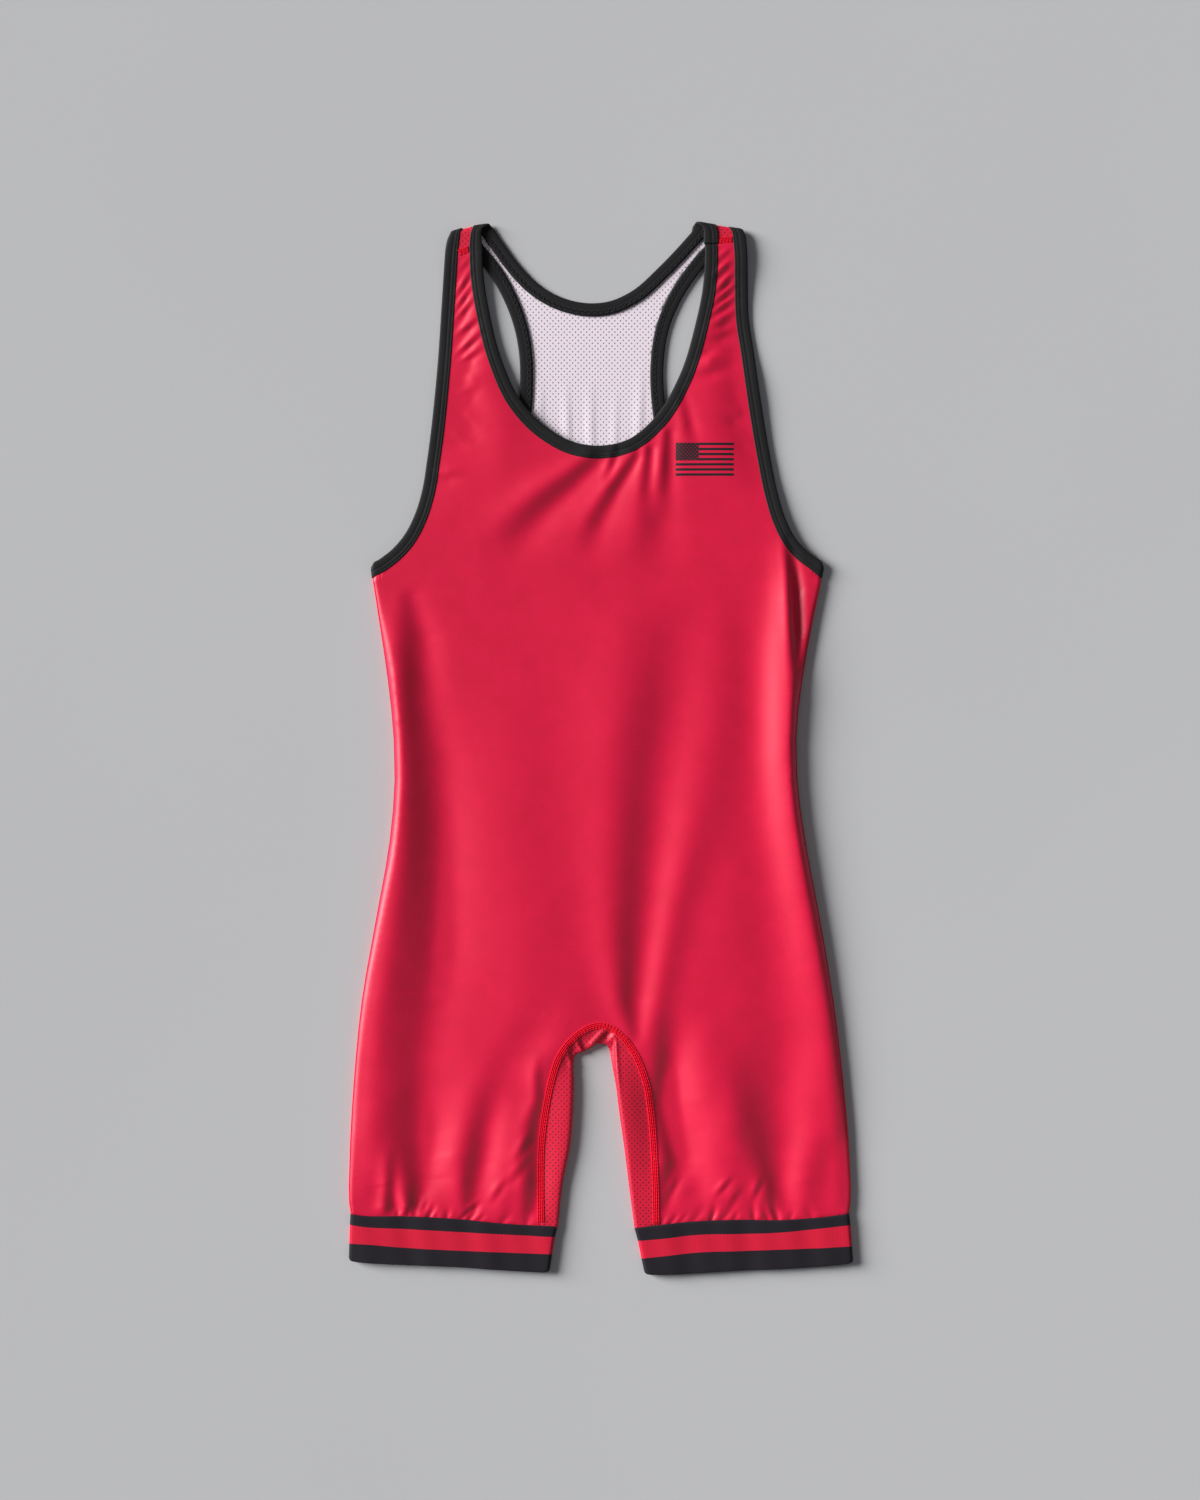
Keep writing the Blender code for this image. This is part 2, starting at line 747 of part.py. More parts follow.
def grid_faces(rows, columns, ring_rows=False, ring_columns=False):
    """The four-sided faces of a net of sections, closed round on itself where asked."""
    faces = []
    for i in range(rows if ring_rows else rows - 1):
        for j in range(columns if ring_columns else columns - 1):
            i2, j2 = (i + 1) % rows, (j + 1) % columns
            faces.append((i * columns + j, i2 * columns + j, i2 * columns + j2, i * columns + j2))
    return faces


def make_front(look, collection):
    outline = front_outline()
    sections = roll_sections(FRONT_INSETS) + gather_sections()
    flat, faces = sheet(outline, FRONT_SPACING, sections)
    lying = np.column_stack([standing(flat), front_height(flat)])
    thicken(add_object("front_panel", lying, faces, look, collection), CLOTH)


def over_shoulder(point):
    """A point of the back as it lies: flat, or carried over the shoulder fold on to the front."""
    side = "right" if point[0] < 0 else "left"
    arm_end, _, facing = shoulder_line(side)
    radius = SHOULDER_HEIGHT / 2
    beyond = (point - arm_end) @ facing + radius
    if beyond <= 1e-6:
        return point[0], point[1], back_height(point)[0]
    edge = point - facing * (beyond - radius)
    turn = math.pi - min(beyond / radius, math.pi)
    x, y, z = round_fold(edge, facing, SHOULDER_HEIGHT, turn)
    along = max(beyond - math.pi * radius, 0)
    return x - facing[0] * along, y - facing[1] * along, z


def make_back(look, collection):
    outline = back_outline()
    sections = roll_sections(BACK_INSETS) + shoulder_sections()
    flat, faces = sheet(outline, BACK_SPACING, sections)
    lying = np.array([over_shoulder(point) for point in flat])
    lying[:, :2] = standing(lying[:, :2])
    thicken(add_object("back_panel", lying, [face[::-1] for face in faces], look, collection), CLOTH)


def make_gusset(look, collection):
    """The gusset strip: across each section, its front, round its folded edge, and its back."""
    table = gusset_table()
    seams = gusset_seam(-SEAM_GAP / 2)
    points = []
    for row, seam in zip(table, seams):
        fold = row[2:4]
        facing = (fold - seam) / np.linalg.norm(fold - seam)
        seam_top = front_height(row[:2])[0]
        away = math.dist(fold, RUFFLE_MIDDLE) / RUFFLE_SPREAD
        wave = math.sin(2 * math.pi * row[0] / RUFFLE_RUN)
        top = GUSSET_HEIGHT + RUFFLE_RISE * math.exp(-(away**2)) * wave
        inner = fold - facing * top / 2
        for share in (0, 0.5):
            x, y = between(seam, inner, share)
            points.append((x, y, seam_top + (top - seam_top) * share))
        points += [round_fold(fold, facing, top, turn) for turn in HALF_TURN]
        points.append((*seam, 0.0))
    columns = len(points) // len(table)
    faces = [face[::-1] for face in grid_faces(len(table), columns)]
    thicken(add_object("gusset", points, faces, look, collection), CLOTH)


def cuff_ring(outer, inner):
    """One section of a cuff: along its front, round its inner end, along its back and round its outer end."""
    along = (inner - outer) / np.linalg.norm(inner - outer)
    ends = inner - along * CUFF_HEIGHT / 2, outer + along * CUFF_HEIGHT / 2
    flat = [between(*ends, share) for share in (0.2, 0.4, 0.6, 0.8)]
    return [
        *[round_fold(inner, along, CUFF_HEIGHT, turn) for turn in HALF_TURN],
        *[(x, y, 0.0) for x, y in flat],
        *[round_fold(outer, -along, CUFF_HEIGHT, turn) for turn in HALF_TURN[::-1]],
        *[(x, y, CUFF_HEIGHT) for x, y in flat[::-1]],
    ]


def make_cuff(side, look, collection):
    cuff = CUFFS[side]
    points = []
    rows = (0, 0.33, 0.66, 1)
    for share in rows:
        ends = [between(top, bottom, share) for top, bottom in zip(cuff["top"], cuff["bottom"])]
        ring = np.array(cuff_ring(*ends))
        across = (ring[:, 0] - ends[0][0]) / (ends[1][0] - ends[0][0])
        ring[:, 1] -= share * cuff["bow"] * 4 * np.clip(across * (1 - across), 0, 1)
        points += list(ring)
    columns = len(points) // len(rows)
    faces = grid_faces(len(rows), columns, ring_columns=True)
    thicken(add_object("cuff_" + side, points, faces, look, collection), CUFF_WALL)


def make_binding(name, sections, outside_left, look, collection):
    """A closed ring of tape, whose free edge lies to the left or to the right of the way it runs."""
    points = [point for section in sections for point in section]
    faces = grid_faces(len(sections), len(BINDING_SECTION), ring_rows=True, ring_columns=True)
    add_object(name, points, faces if outside_left else [face[::-1] for face in faces], look, collection)


def main():
    for existing in list(bpy.data.objects):
        bpy.data.objects.remove(existing, do_unlink=True)
    collection = bpy.data.collections.new("wrestling_singlet")
    bpy.context.scene.collection.children.link(collection)

    red = material("red_cloth", CHEST_RED, 0.45)
    mesh_cloth = material("mesh_cloth", MESH_RED, 0.6)
    charcoal = material("cuff_elastic", CUFF_CHARCOAL, 0.75)
    black = material("binding_tape", BINDING_BLACK, 0.7)

    make_front(red, collection)
    make_back(mesh_cloth, collection)
    make_gusset(mesh_cloth, collection)
    make_binding("neck_binding", neck_sections(), False, black, collection)
    for side in ("right", "left"):
        make_cuff(side, charcoal, collection)
        make_binding("armhole_binding_" + side, arm_sections(side), side == "right", black, collection)


main()
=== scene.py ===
"""The looks of a wrestling singlet that lies flat on its back: cloth, bindings, cuffs, seams and a flag.

The drawing is in millimetres, as in the CAD model: x runs to the wearer's left, y from the legs to the
shoulders, z up from the table. The meshes are made in metres.
"""

import math

import bpy
import numpy as np
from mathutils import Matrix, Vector
from mathutils.geometry import delaunay_2d_cdt


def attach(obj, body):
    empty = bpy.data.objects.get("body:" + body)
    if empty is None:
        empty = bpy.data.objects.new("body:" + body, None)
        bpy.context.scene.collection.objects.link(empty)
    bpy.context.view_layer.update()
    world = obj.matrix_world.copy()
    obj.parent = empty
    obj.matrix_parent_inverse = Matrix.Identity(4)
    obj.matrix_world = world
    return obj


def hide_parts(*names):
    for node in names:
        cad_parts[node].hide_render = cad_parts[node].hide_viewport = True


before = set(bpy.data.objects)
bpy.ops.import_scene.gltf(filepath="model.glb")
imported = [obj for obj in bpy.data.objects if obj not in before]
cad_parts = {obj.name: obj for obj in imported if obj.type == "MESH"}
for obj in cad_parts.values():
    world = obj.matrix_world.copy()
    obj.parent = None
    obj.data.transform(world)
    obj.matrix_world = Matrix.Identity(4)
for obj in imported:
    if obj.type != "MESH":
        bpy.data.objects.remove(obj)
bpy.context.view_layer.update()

MM = 0.001

# Cloth, bindings and cuffs, in millimetres.
CLOTH = 0.6
TAPE = 0.45
CUFF_CLOTH = 1.0
UNDER_TAPE = 1.8  # how far the panels run in under a binding
UNDER_CUFF = 2.0  # how far the legs run in under the cuffs
SEAM_LEVEL = 2.0  # the side seam above the table
SIDE_ROLL = 7.5  # the widest roll from a side seam up to the front
LEAST_ROLL = 1.3
SHOULDER_HEIGHT = 5.15
FOLD_RADIUS = SHOULDER_HEIGHT / 2
HEM_HEIGHT = 4.4  # the front where it runs in under a cuff
BINDING_WIDTH = 10.5
BINDING_PROUD = 0.45
TAPE_CORNER = 1.0  # how far a folded tape rounds off at its free edge
CORNER_START = 0.66  # the share of its width from which it does
NECK_JOIN = 403.0  # where the end of the neck tape laps over its start, by the left shoulder seam
LAP_CUT = 0.45  # half the length in which the tape steps up at its cut end
LAP_LOWEST = 3.0  # it ends where the tape has rolled down to here over the shoulder
LAP_RISE = 0.6
LAP_WIDER = 0.12
CUFF_HEIGHT = 5.6
CUFF_CORNER = 2.6
CUFF_ROWS = (8, 12, 8)  # rows of faces above, in and below the red stripe

# The nets of the panels, and how far inside a side seam their rolls are shaped.
FRONT_SPACING = 2.8
BACK_SPACING = 4.0
FINE_SPACING = 1.7
NET_MARGIN = 0.4 * FINE_SPACING
FRONT_INSETS = (0.03, 0.15, 0.45, 1.0, 1.8, 3.0, 4.8, SIDE_ROLL)
BACK_INSETS = (0.03, 0.15, 0.4, 0.9, SEAM_LEVEL)
PORTION = 4000  # points compared with a line at a time

# Sewing.
THREAD_SIDES = 5
BAND = (-2.9, -2.2, -1.4, -0.7, 0.0, 0.7, 1.4, 2.2, 2.9)  # places across a flat seam
BAND_RISE = (-0.35, 0.24, 0.02, 0.3, 0.04, 0.3, 0.02, 0.24, -0.35)
BAND_NEEDLES = (1, 3, 5, 7)
SEAM_INSETS = (0, 0.02, 0.08, 0.2, 0.4, 0.7, 1.1, 1.7, 2.5, 3.5)  # where a side seam's surface is measured
LADDER = 1.35
TAPE_STITCH = 2.6
NEEDLE_COLUMNS = (5, 10)
LOOPER_COLUMNS = (26, 23)
UPPER_COLUMNS = 17  # those of a tape's upper layer
SEAM_END = 2.5  # how far a shoulder seam's ends stay inside the panel's corners

# The stage, in metres.
FLOOR_REACH = 4
FLOOR_LEVEL = -0.0006
CAMERA_HEIGHT = 2.4

# Mesh holes and the flag.
MESH_PITCH = 4.5
MESH_HOLE = 1.1
FLAG = {
    "left": 59.6, "top": 244.1, "width": 46.5, "height": 26.4, "stripes": 13,
    "field width": 18.5, "field stripes": 7, "star rows": 9, "star columns": 6,
}

# The front cloth's upper face above the table, and the lowest that a fold may press it there.
# up, level, lowest, steps up to the next row
FRONT_LEVELS = (
    (422, 5.15, 5.15, 4), (388, 5.15, 5.1, 4), (370, 3.8, 3, 4), (345, 2.6, 1.8, 4), (322, 2.6, 1.8, 4),
    (294, 4.3, 3.8, 4), (250, 4.8, 3.2, 4), (200, 5, 2.2, 4), (100, 5.2, 1.6, 4), (-300, 5.2, 1.6, 4),
    (-350, 5.2, 1.6, 4), (-372, 5, 2.2, 2), (-386, 4.8, 3, 0),
)

# Rounded crests and troughs of the front, along lines of places.
# x, y, half width, rise (a trough has a negative one)
FOLDS = {
    "right side crest": (
        (-174, 119, 9, 0.6), (-164, 60, 12, 3), (-160, -17, 13, 3.4), (-162, -81, 14, 3.2),
        (-170, -145, 14, 2.6), (-179, -209, 13, 2.2), (-184, -275, 12, 1.2), (-188, -350, 12, 1),
    ),
    "left side crest": (
        (143, 168, 9, 0.4), (148, 119, 12, 3.8), (149, 55, 15, 4.6), (148, -9, 16, 4.6), (152, -57, 16, 4.2),
        (160, -113, 15, 3.6), (170, -169, 14, 2.8), (178, -225, 13, 1.9), (186, -300, 12, 1),
    ),
    "left side trough": ((153, 163, 4, 0), (157, 127, 5, -3.4), (158, 95, 5, -3), (156, 60, 4, 0)),
    "right armhole sink": (
        (-127, 300, 20, 0), (-131, 262, 22, -1.6), (-138, 215, 20, -1.4), (-150, 178, 12, 0),
    ),
    "left armhole sink": ((120, 300, 20, 0), (124, 262, 22, -1.4), (133, 215, 20, -1.2), (145, 178, 12, 0)),
    "middle crest": (
        (72, 20, 22, 0), (70, -57, 19, 1.4), (62, -97, 15, 1.6), (54, -137, 12, 1.3), (48, -177, 10, 0.8),
        (44, -217, 8, 0.6), (46, -262, 7, 0.2), (51, -310, 7, 0),
    ),
    "right thigh crest": ((-70, -232, 11, 0), (-76, -290, 12, 1.9), (-84, -350, 11, 1.2)),
    "left thigh crest": ((100, -232, 11, 0), (105, -300, 13, 1.5), (108, -352, 11, 1)),
}

# Soft slopes of the front, listed downwards: the cloth falls from the right side of the line to its left
# side, which faces away from the light. Where the fall is negative it rises towards the left instead.
# x, y, half width, fall
STEPS = {
    "right side": (
        (-156, 119, 7, 1.4), (-151, 87, 11, 3.8), (-149, 39, 13, 3.4), (-142, -9, 15, 3.9),
        (-139, -57, 16, 4.7), (-140, -105, 17, 5.2), (-143, -153, 18, 4.9), (-149, -201, 18, 4.2),
        (-154, -233, 17, 3.8), (-156, -257, 16, 3.6), (-158, -281, 17, 4.4), (-159, -305, 19, 5.2),
        (-156, -329, 15, 5.4), (-152, -345, 11, 5.2), (-150.5, -364, 6, 4.4),
    ),
    "right flank": (
        (-100, 60, 30, 0), (-98, -9, 32, -1.8), (-97, -57, 34, -2.6), (-95, -105, 36, -3.2),
        (-90, -153, 38, -3.6), (-85, -201, 38, -3.4), (-94, -233, 34, -2.8), (-106, -257, 26, -2.2),
        (-115, -281, 19, -2.4), (-122, -305, 17, -2.8), (-126, -329, 14, -2.6), (-123, -345, 11, -1.8),
        (-125, -365, 8, -0.8),
    ),
    "left side": (
        (147, 168, 3, 0.6), (151, 140, 3.5, 2.2), (153, 100, 4, 2.6), (155, 60, 4, 1.8), (156, 10, 4, 1),
        (159, -50, 5, 1), (168, -105, 6, 1.4), (178, -161, 6, 1.6), (185, -209, 6, 1.6), (190, -257, 6, 1.4),
        (193, -313, 6, 1), (194, -361, 6, 0.8),
    ),
    "left flank": (
        (128, 135, 14, 0), (132, 87, 15, -1.7), (134, 39, 16, -2.3), (138, -9, 17, -2.5),
        (141, -57, 17, -2.4), (144, -105, 17, -2.2), (149, -153, 17, -2), (153, -201, 16, -1.9),
        (159, -233, 15, -2.4), (161, -257, 15, -2.8), (161, -305, 13, -3), (155, -345, 9, -2.2),
        (157, -365, 7, -1.2),
    ),
    "middle": (
        (46, 130, 28, 0), (43, 87, 28, 3.4), (38, 39, 25, 5), (31, -9, 24, 5.8), (28, -57, 21, 5.6),
        (24, -105, 18, 5.4), (21, -153, 14, 5), (21, -201, 9, 4), (26, -228, 5, 1.4),
    ),
    "beside the middle": (
        (110, 130, 20, 0), (105, 87, 20, 1.3), (102, 39, 20, 1.9), (97, -9, 20, 1.9), (89, -57, 19, 1.6),
        (75, -105, 14, 0.8), (64, -153, 11, 0.7), (52, -201, 11, 0.9), (48, -233, 11, 2.2),
        (47, -257, 9, 4.6), (46, -281, 9, 5), (49, -305, 9, 5), (54, -329, 9, 4.8), (50, -345, 8, 3.6),
        (48, -365, 5, 1.6),
    ),
    "right thigh": (
        (-78, -225, 9, 0), (-84, -257, 10, 0.6), (-92, -281, 11, 1.2), (-99, -305, 10, 1.7),
        (-103, -329, 9, 1.9), (-106, -345, 7, 1.7), (-107, -366, 5, 1),
    ),
    "right inner thigh": (
        (-36, -215, 14, -1), (-44, -233, 13, -2.2), (-60, -257, 13, -2.9), (-65, -281, 14, -3.4),
        (-76, -305, 14, -3.4), (-80, -329, 14, -3.4), (-81, -345, 13, -3), (-87, -362, 10, -1.8),
    ),
    "right outer leg": ((-168, -318, 4, 0), (-168.5, -345, 4.5, 2.2), (-169, -366, 5, 3.6)),
    "right inner leg": (
        (-49, -250, 3.5, 0.5), (-50, -262, 3.5, 1.3), (-49, -281, 4, 1.4), (-57, -305, 6, 2),
        (-57, -329, 8, 2.6), (-56, -345, 7, 2.9), (-58, -366, 6, 1.8),
    ),
    "beside the gusset": (
        (27, -238, 8, 0), (30, -257, 9, 3.4), (32, -285, 9, 5.4), (33, -329, 8, 4.6), (34, -366, 6, 1),
    ),
    "right gusset": (
        (-27, -240, 6, 0), (-32, -262, 7, -1.8), (-38, -300, 7, -2), (-43, -345, 6, -1.4),
        (-43, -368, 5, -0.6),
    ),
    "left inner thigh": (
        (76, -210, 14, 0), (71, -240, 14, -2.8), (73, -281, 15, -5), (79, -305, 15, -5), (82, -329, 14, -4.6),
        (86, -350, 12, -3.6),
    ),
    "left thigh": (
        (112, -225, 18, 0.4), (118, -257, 18, 2.5), (121, -281, 15, 3.6), (125, -305, 14, 4),
        (129, -329, 11, 4), (133, -345, 9, 3.6), (138, -366, 7, 2.2),
    ),
    "right strap": (
        (-108, 398, 12, -0.8), (-108, 360, 14, -2.2), (-107, 320, 16, -3), (-103, 290, 16, -3),
        (-94, 262, 17, -2.6), (-91, 238, 15, -1.2), (-92, 205, 14, 0),
    ),
    "left strap": (
        (100, 398, 10, 1), (100, 360, 12, 1.8), (99, 330, 14, 2.4), (104, 295, 18, 3.2), (110, 262, 20, 2.8),
        (116, 230, 20, 1.4), (120, 200, 18, 0),
    ),
    "neck, long": (
        (-7, 230, 6, 2.4), (-27, 213, 8, 3.4), (-48, 197, 10, 4), (-66, 180, 12, 3.2), (-86, 164, 14, 0.8),
    ),
    "neck, short": ((27, 234, 3.5, 1.6), (9, 207, 5, 2.6), (-5, 183, 7, 2.2), (-17, 158, 10, 0.4)),
    "neck, between": ((12, 240, 2.4, 0.8), (8, 227, 2.6, 1.2), (1, 212, 3, 0)),
    "neck, third": ((38, 239, 3.2, 1.6), (35, 207, 5, 1.8), (35, 180, 10, 2), (31, 145, 14, 0.4)),
    "neck, fourth": ((53, 252, 3.6, 1.5), (51, 223, 5, 2.4), (48, 190, 8, 1.6), (43, 150, 14, 0.4)),
    "neck, fifth": ((64, 282, 3.5, 0.5), (69, 258, 4.5, 1.6), (75, 233, 6, 0)),
}

# The drag wrinkles across the straps, from their upper ends, steps too, soft patches by the armholes, and the
# slanting creases above the cuffs.
# upper x, upper y, lower x, lower y, half width, fall
WRINKLES = (
    (-104, 391, -113, 381, 1.6, 1.2), (-104, 380, -115, 361, 1.9, 2), (-104, 369, -116, 349, 1.9, 2),
    (-103, 358, -117, 339, 2, 2), (-98, 344, -117, 327, 2.4, 2), (-96, 332, -118, 311, 2.2, 2.2),
    (-95, 320, -117, 304, 2.6, 1.8), (-97, 303, -113, 296, 5, -1.4), (-100, 287, -121, 276, 3.6, 1.6),
    (-97, 254, -122, 271, 5, 1.6), (-108, 244, -126, 252, 3.6, 1.4), (-112, 218, -131, 218, 3.6, 1.1),
    (106, 399, 94, 390, 1.9, 1.8), (106, 389, 92, 377, 2.1, 2.4), (106, 379, 92, 363, 2.1, 2.4),
    (108, 370, 90, 354, 2.2, 2.4), (109, 361, 89, 346, 2.2, 2.2), (109, 348, 86, 334, 3.4, 1.8),
    (108, 333, 83, 327, 4, 1.8), (93, 316, 80, 311, 3.2, -1.4), (101, 306, 74, 299, 4.5, 1.6),
    (116, 262, 100, 268, 4.5, 1), (124, 238, 108, 250, 4.5, 0.7), (-52, -302, -68, -329, 2.8, 1.8),
    (-56, -324, -73, -346, 2.8, 1.3), (-76, -344, -88, -362, 2.6, 1.1), (-97, -362, -109, -371, 1.7, 1.1),
    (-139, -360, -144, -370, 1.8, 0.9), (63, -340, 52, -360, 2.6, 1.1), (104, -342, 92, -357, 2.2, 1.4),
    (128, -343, 121, -360, 2.4, 1.2), (112, -350, 101, -367, 2.6, 0.8),
)

# The puckers where the legs are gathered on to their cuffs, the right leg's first.
# x at the cuff, lean towards the wearer's left at the top, reach, half width, depth
GATHERS = (
    (-162.4, 1, 7, 1.5, 1.1), (-154.6, 2, 11, 2, 1), (-149, 0, 16, 2.6, 1.2), (-137.8, 4, 10, 1.7, 1.5),
    (-131.2, 0, 5, 1.2, 0.7), (-123.2, 1, 8, 1.8, 1.1), (-112, 6, 8, 1.6, 1.1), (-105.6, 6, 12, 2.4, 1.4),
    (-98.6, 5, 6, 1.6, 0.8), (-79, 5, 10, 2.8, 0.8), (-59.4, 2, 12, 2.8, 0.9), (47.4, 3, 8, 1.9, 0.9),
    (55.2, 5, 7, 1.7, 1), (62, 6, 6, 1.5, 0.8), (74, 7, 14, 3, 0.6), (88, 3, 12, 1.8, 1.5),
    (97, 8, 14, 2.8, 0.8), (106.6, 2, 7, 1.8, 0.9), (122.4, -1, 14, 2, 1.3), (133.6, -3, 12, 2.2, 1.2),
    (141, -4, 16, 2.6, 1.6), (150.8, 2, 7, 1.9, 0.7), (168.6, -4, 12, 3, 0.8),
)

# The soft folds of the back where it shows inside the neckline, steps as on the front.
BACK_STEPS = {
    "first": ((-44, 300, 4, 0), (-45, 262, 4.5, 0.9), (-44, 225, 4, 0.7)),
    "second": ((-24, 296, 4, 0), (-23, 258, 4, 1), (-22, 222, 3.5, 0.8)),
    "third": ((-4, 300, 4.5, 0), (-4, 258, 4.5, 0.9), (-3, 222, 4, 0.7)),
    "fourth": ((16, 290, 4, 0), (15, 255, 4, 0.6), (14, 225, 4, 0.6)),
    "fifth": ((36, 310, 4, 0), (35, 270, 4, 0.8), (33, 232, 4, 0.7)),
}

# The side seams, from the underarm to the cuff.
# up, right, left, sections up to the next row
SIDES = (
    (136, -182.8, 176.6, 2), (103, -177.6, 169.6, 2), (55, -170.4, 161, 2), (7, -165.6, 156, 1),
    (-25, -164.9, 156.8, 2), (-73, -168.8, 163.2, 3), (-137, -180, 175.2, 3), (-201, -191.2, 185.8, 3),
    (-265, -197.6, 193.6, 3), (-337, -201.3, 199.2, 2), (-362, -201.5, 199.6, 1), (-371.5, -200.2, 198.2, 0),
)

ROLL_TOP = SIDES[0][0] + BINDING_WIDTH  # the edges under the armhole bindings lie flat above this

# Where each strap is folded over the shoulder, and how much of its edge each binding takes.
SHOULDERS = {
    "right": {"arm_end": (-119.8, 413.2), "neck_end": (-88.8, 420.2), "arm": 0.25, "neck": 0.435},
    "left": {"arm_end": (114, 414.6), "neck_end": (76.8, 420.8), "arm": 0.25, "neck": 0.39},
}

# Where the bindings roll over an edge: the free edge and the cloth edge on the upper layer, on the rim and on
# the lower layer.
TAPE_FOLDS = {
    "right neck": (
        ((-93.6, 416), (-103, 415)), ((-88.8, 420), (-101.8, 418.1)), ((-86.4, 416.2), (-99, 414.6)),
    ),
    "left neck": (
        ((79.9, 417.4), (92.7, 415.6)), ((75.6, 421.6), (91.8, 418.9)), ((73.6, 417.6), (89.6, 415.4)),
    ),
    "right arm": (
        ((-121.3, 409.6), (-112.1, 412.8)), ((-120.7, 413.2), (-110.9, 416.2)),
        ((-119.6, 410.6), (-109.8, 412.8)),
    ),
    "left arm": (
        ((114.8, 411), (104.4, 412.8)), ((113.9, 415.3), (101.9, 417.1)), ((113, 411.8), (103.2, 413)),
    ),
    "right underarm": (
        ((-181.8, 148), (-180.4, 137.7)), ((-184.2, 145.6), (-183.2, 135.9)),
        ((-181.2, 146.8), (-180.4, 137.2)),
    ),
    "left underarm": (
        ((176.5, 148.5), (173.8, 137.4)), ((178.6, 145.8), (176.5, 135.8)), ((176, 147), (173.7, 137)),
    ),
}

# The middle of the neck binding, from the right shoulder seam round the front to the left one.
# x, y, sections up to the next row
NECK_FRONT = (
    (-99.9, 399.4, 2), (-99.2, 380, 2), (-93.6, 344, 2), (-84.4, 309.2, 3), (-68.8, 275.6, 3),
    (-45.4, 251.6, 2), (-20.8, 239.1, 1), (-4.6, 236.7, 2), (24.4, 242.4, 2), (46, 260, 3), (67.5, 295.9, 3),
    (80.5, 338, 2), (86.4, 367, 2), (88.1, 390, 2), (88, 405, 0),
)

# The same round the back, from the left shoulder to the right one.
NECK_BACK = (
    (76, 409, 2), (63.6, 395.2, 2), (49.2, 380.4, 2), (27.2, 361.2, 2), (6.4, 352.2, 1), (-6.4, 350.8, 2),
    (-31.2, 355, 2), (-54.4, 368, 2), (-69.5, 383.5, 2), (-84.8, 404.4, 0),
)

# The middle of each armhole binding, down the front from the shoulder seam and back up to the shoulder.
# x, y, sections up to the next row
ARM_FRONT = {
    "right": (
        (-119.4, 395, 2), (-121.9, 358.8, 3), (-126.4, 294.8, 3), (-133.8, 230, 2), (-138.2, 203.4, 2),
        (-144.2, 184.1, 2), (-153.1, 167, 2), (-164.6, 154, 1), (-174, 146.8, 0),
    ),
    "left": (
        (110.6, 407, 1), (111.6, 396, 2), (112, 374.8, 2), (113, 343.2, 1), (116.9, 317.4, 1),
        (120, 294.8, 3), (130.4, 230.8, 2), (135.9, 203.6, 2), (142.4, 182, 2), (151.4, 164.4, 2),
        (162, 153.2, 1), (169.4, 147.8, 0),
    ),
}
ARM_BACK = {
    "right": (
        (-170, 145.2, 2), (-136.8, 162.8, 2), (-104.8, 189.2, 2), (-80.8, 214.8, 2), (-67.2, 242.8, 2),
        (-60.8, 268.4, 2), (-59.6, 290.8, 1), (-59.8, 310, 2), (-63.6, 334.8, 2), (-72, 358.8, 2),
        (-83.2, 379.6, 2), (-100.8, 402, 0),
    ),
    "left": (
        (164, 145, 2), (123.2, 160.4, 2), (87.2, 186.8, 2), (63.2, 214.8, 2), (50.4, 246.8, 2),
        (45.8, 275.6, 2), (44.7, 306, 2), (50, 339.2, 1), (57.8, 358, 2), (68.8, 376, 1), (81.6, 392.4, 1),
        (93.5, 404.6, 0),
    ),
}

# The gusset, from the right cuff over the crotch to the left cuff: its seam and its folded edge.
# seam x, seam y, fold x, fold y, height of its top by the fold, sections up to the next row
GUSSET = (
    (-48, -382.4, -34.4, -383, 5, 2), (-48.2, -349.2, -30.6, -348.4, 5.6, 2),
    (-47.6, -315.6, -24.4, -315.6, 6.2, 2), (-43.8, -285.6, -22.1, -285.6, 6.4, 2),
    (-39.2, -263.6, -21.7, -264.6, 6.2, 1), (-33.6, -246.8, -21.9, -252, 5.4, 1),
    (-26.4, -236, -20.4, -245, 5, 2), (-16.8, -227.2, -14.6, -242.6, 5, 2), (-8, -222.4, -8.8, -239.6, 5, 2),
    (0.3, -221.2, -2.6, -236.2, 5, 2), (8.8, -223.6, 3.6, -236.4, 5.2, 2), (16.8, -230, 6.6, -240.6, 5.8, 2),
    (25.2, -240.4, 8, -248, 6.4, 1), (32, -254.8, 9.8, -258, 7.2, 1), (36.4, -268.4, 11.8, -269, 7.6, 2),
    (39.6, -289, 14.3, -289, 7.6, 2), (42.1, -318, 18.4, -318, 7, 2), (43.6, -351.6, 22.6, -351.6, 5.8, 2),
    (44.1, -383.2, 26.9, -384.4, 5, 0),
)

# The small pleats of the gusset at the crotch, steps as on the front, and the ridge along the left leg.
GUSSET_PLEATS = (
    ((-27, -238, 1.6, 0.6), (-24.5, -245, 1.8, 1.6), (-22, -252, 2, 1.2)),
    ((-20, -229.5, 1.6, 0.6), (-17, -235, 1.7, 2), (-13.5, -242, 1.8, 2.2)),
    ((7, -223.5, 1.8, 0.4), (1.5, -229, 2, 2.2), (-5.5, -237, 2.2, 2.8)),
    ((12, -225, 1.8, -0.6), (7, -231, 2.2, -1.6), (3, -237, 2.2, -1.2)),
)
RIDGE = ((11.5, -228, 3), (12.2, -245, 3), (13, -258, 3), (15.2, -288, 3), (20.5, -330, 3), (27.5, -384, 0))

# The corners of each cuff in plan: the outer and the inner end, or on the left the inner and the outer one.
CUFFS = {
    "right": {"top": ((-200.2, -371.9), (-34.6, -382.1)), "bottom": ((-201.6, -408.8), (-41.2, -418.6))},
    "left": {"top": ((26.6, -383.3), (198.2, -371.9)), "bottom": ((35, -420.2), (201.6, -410))},
}
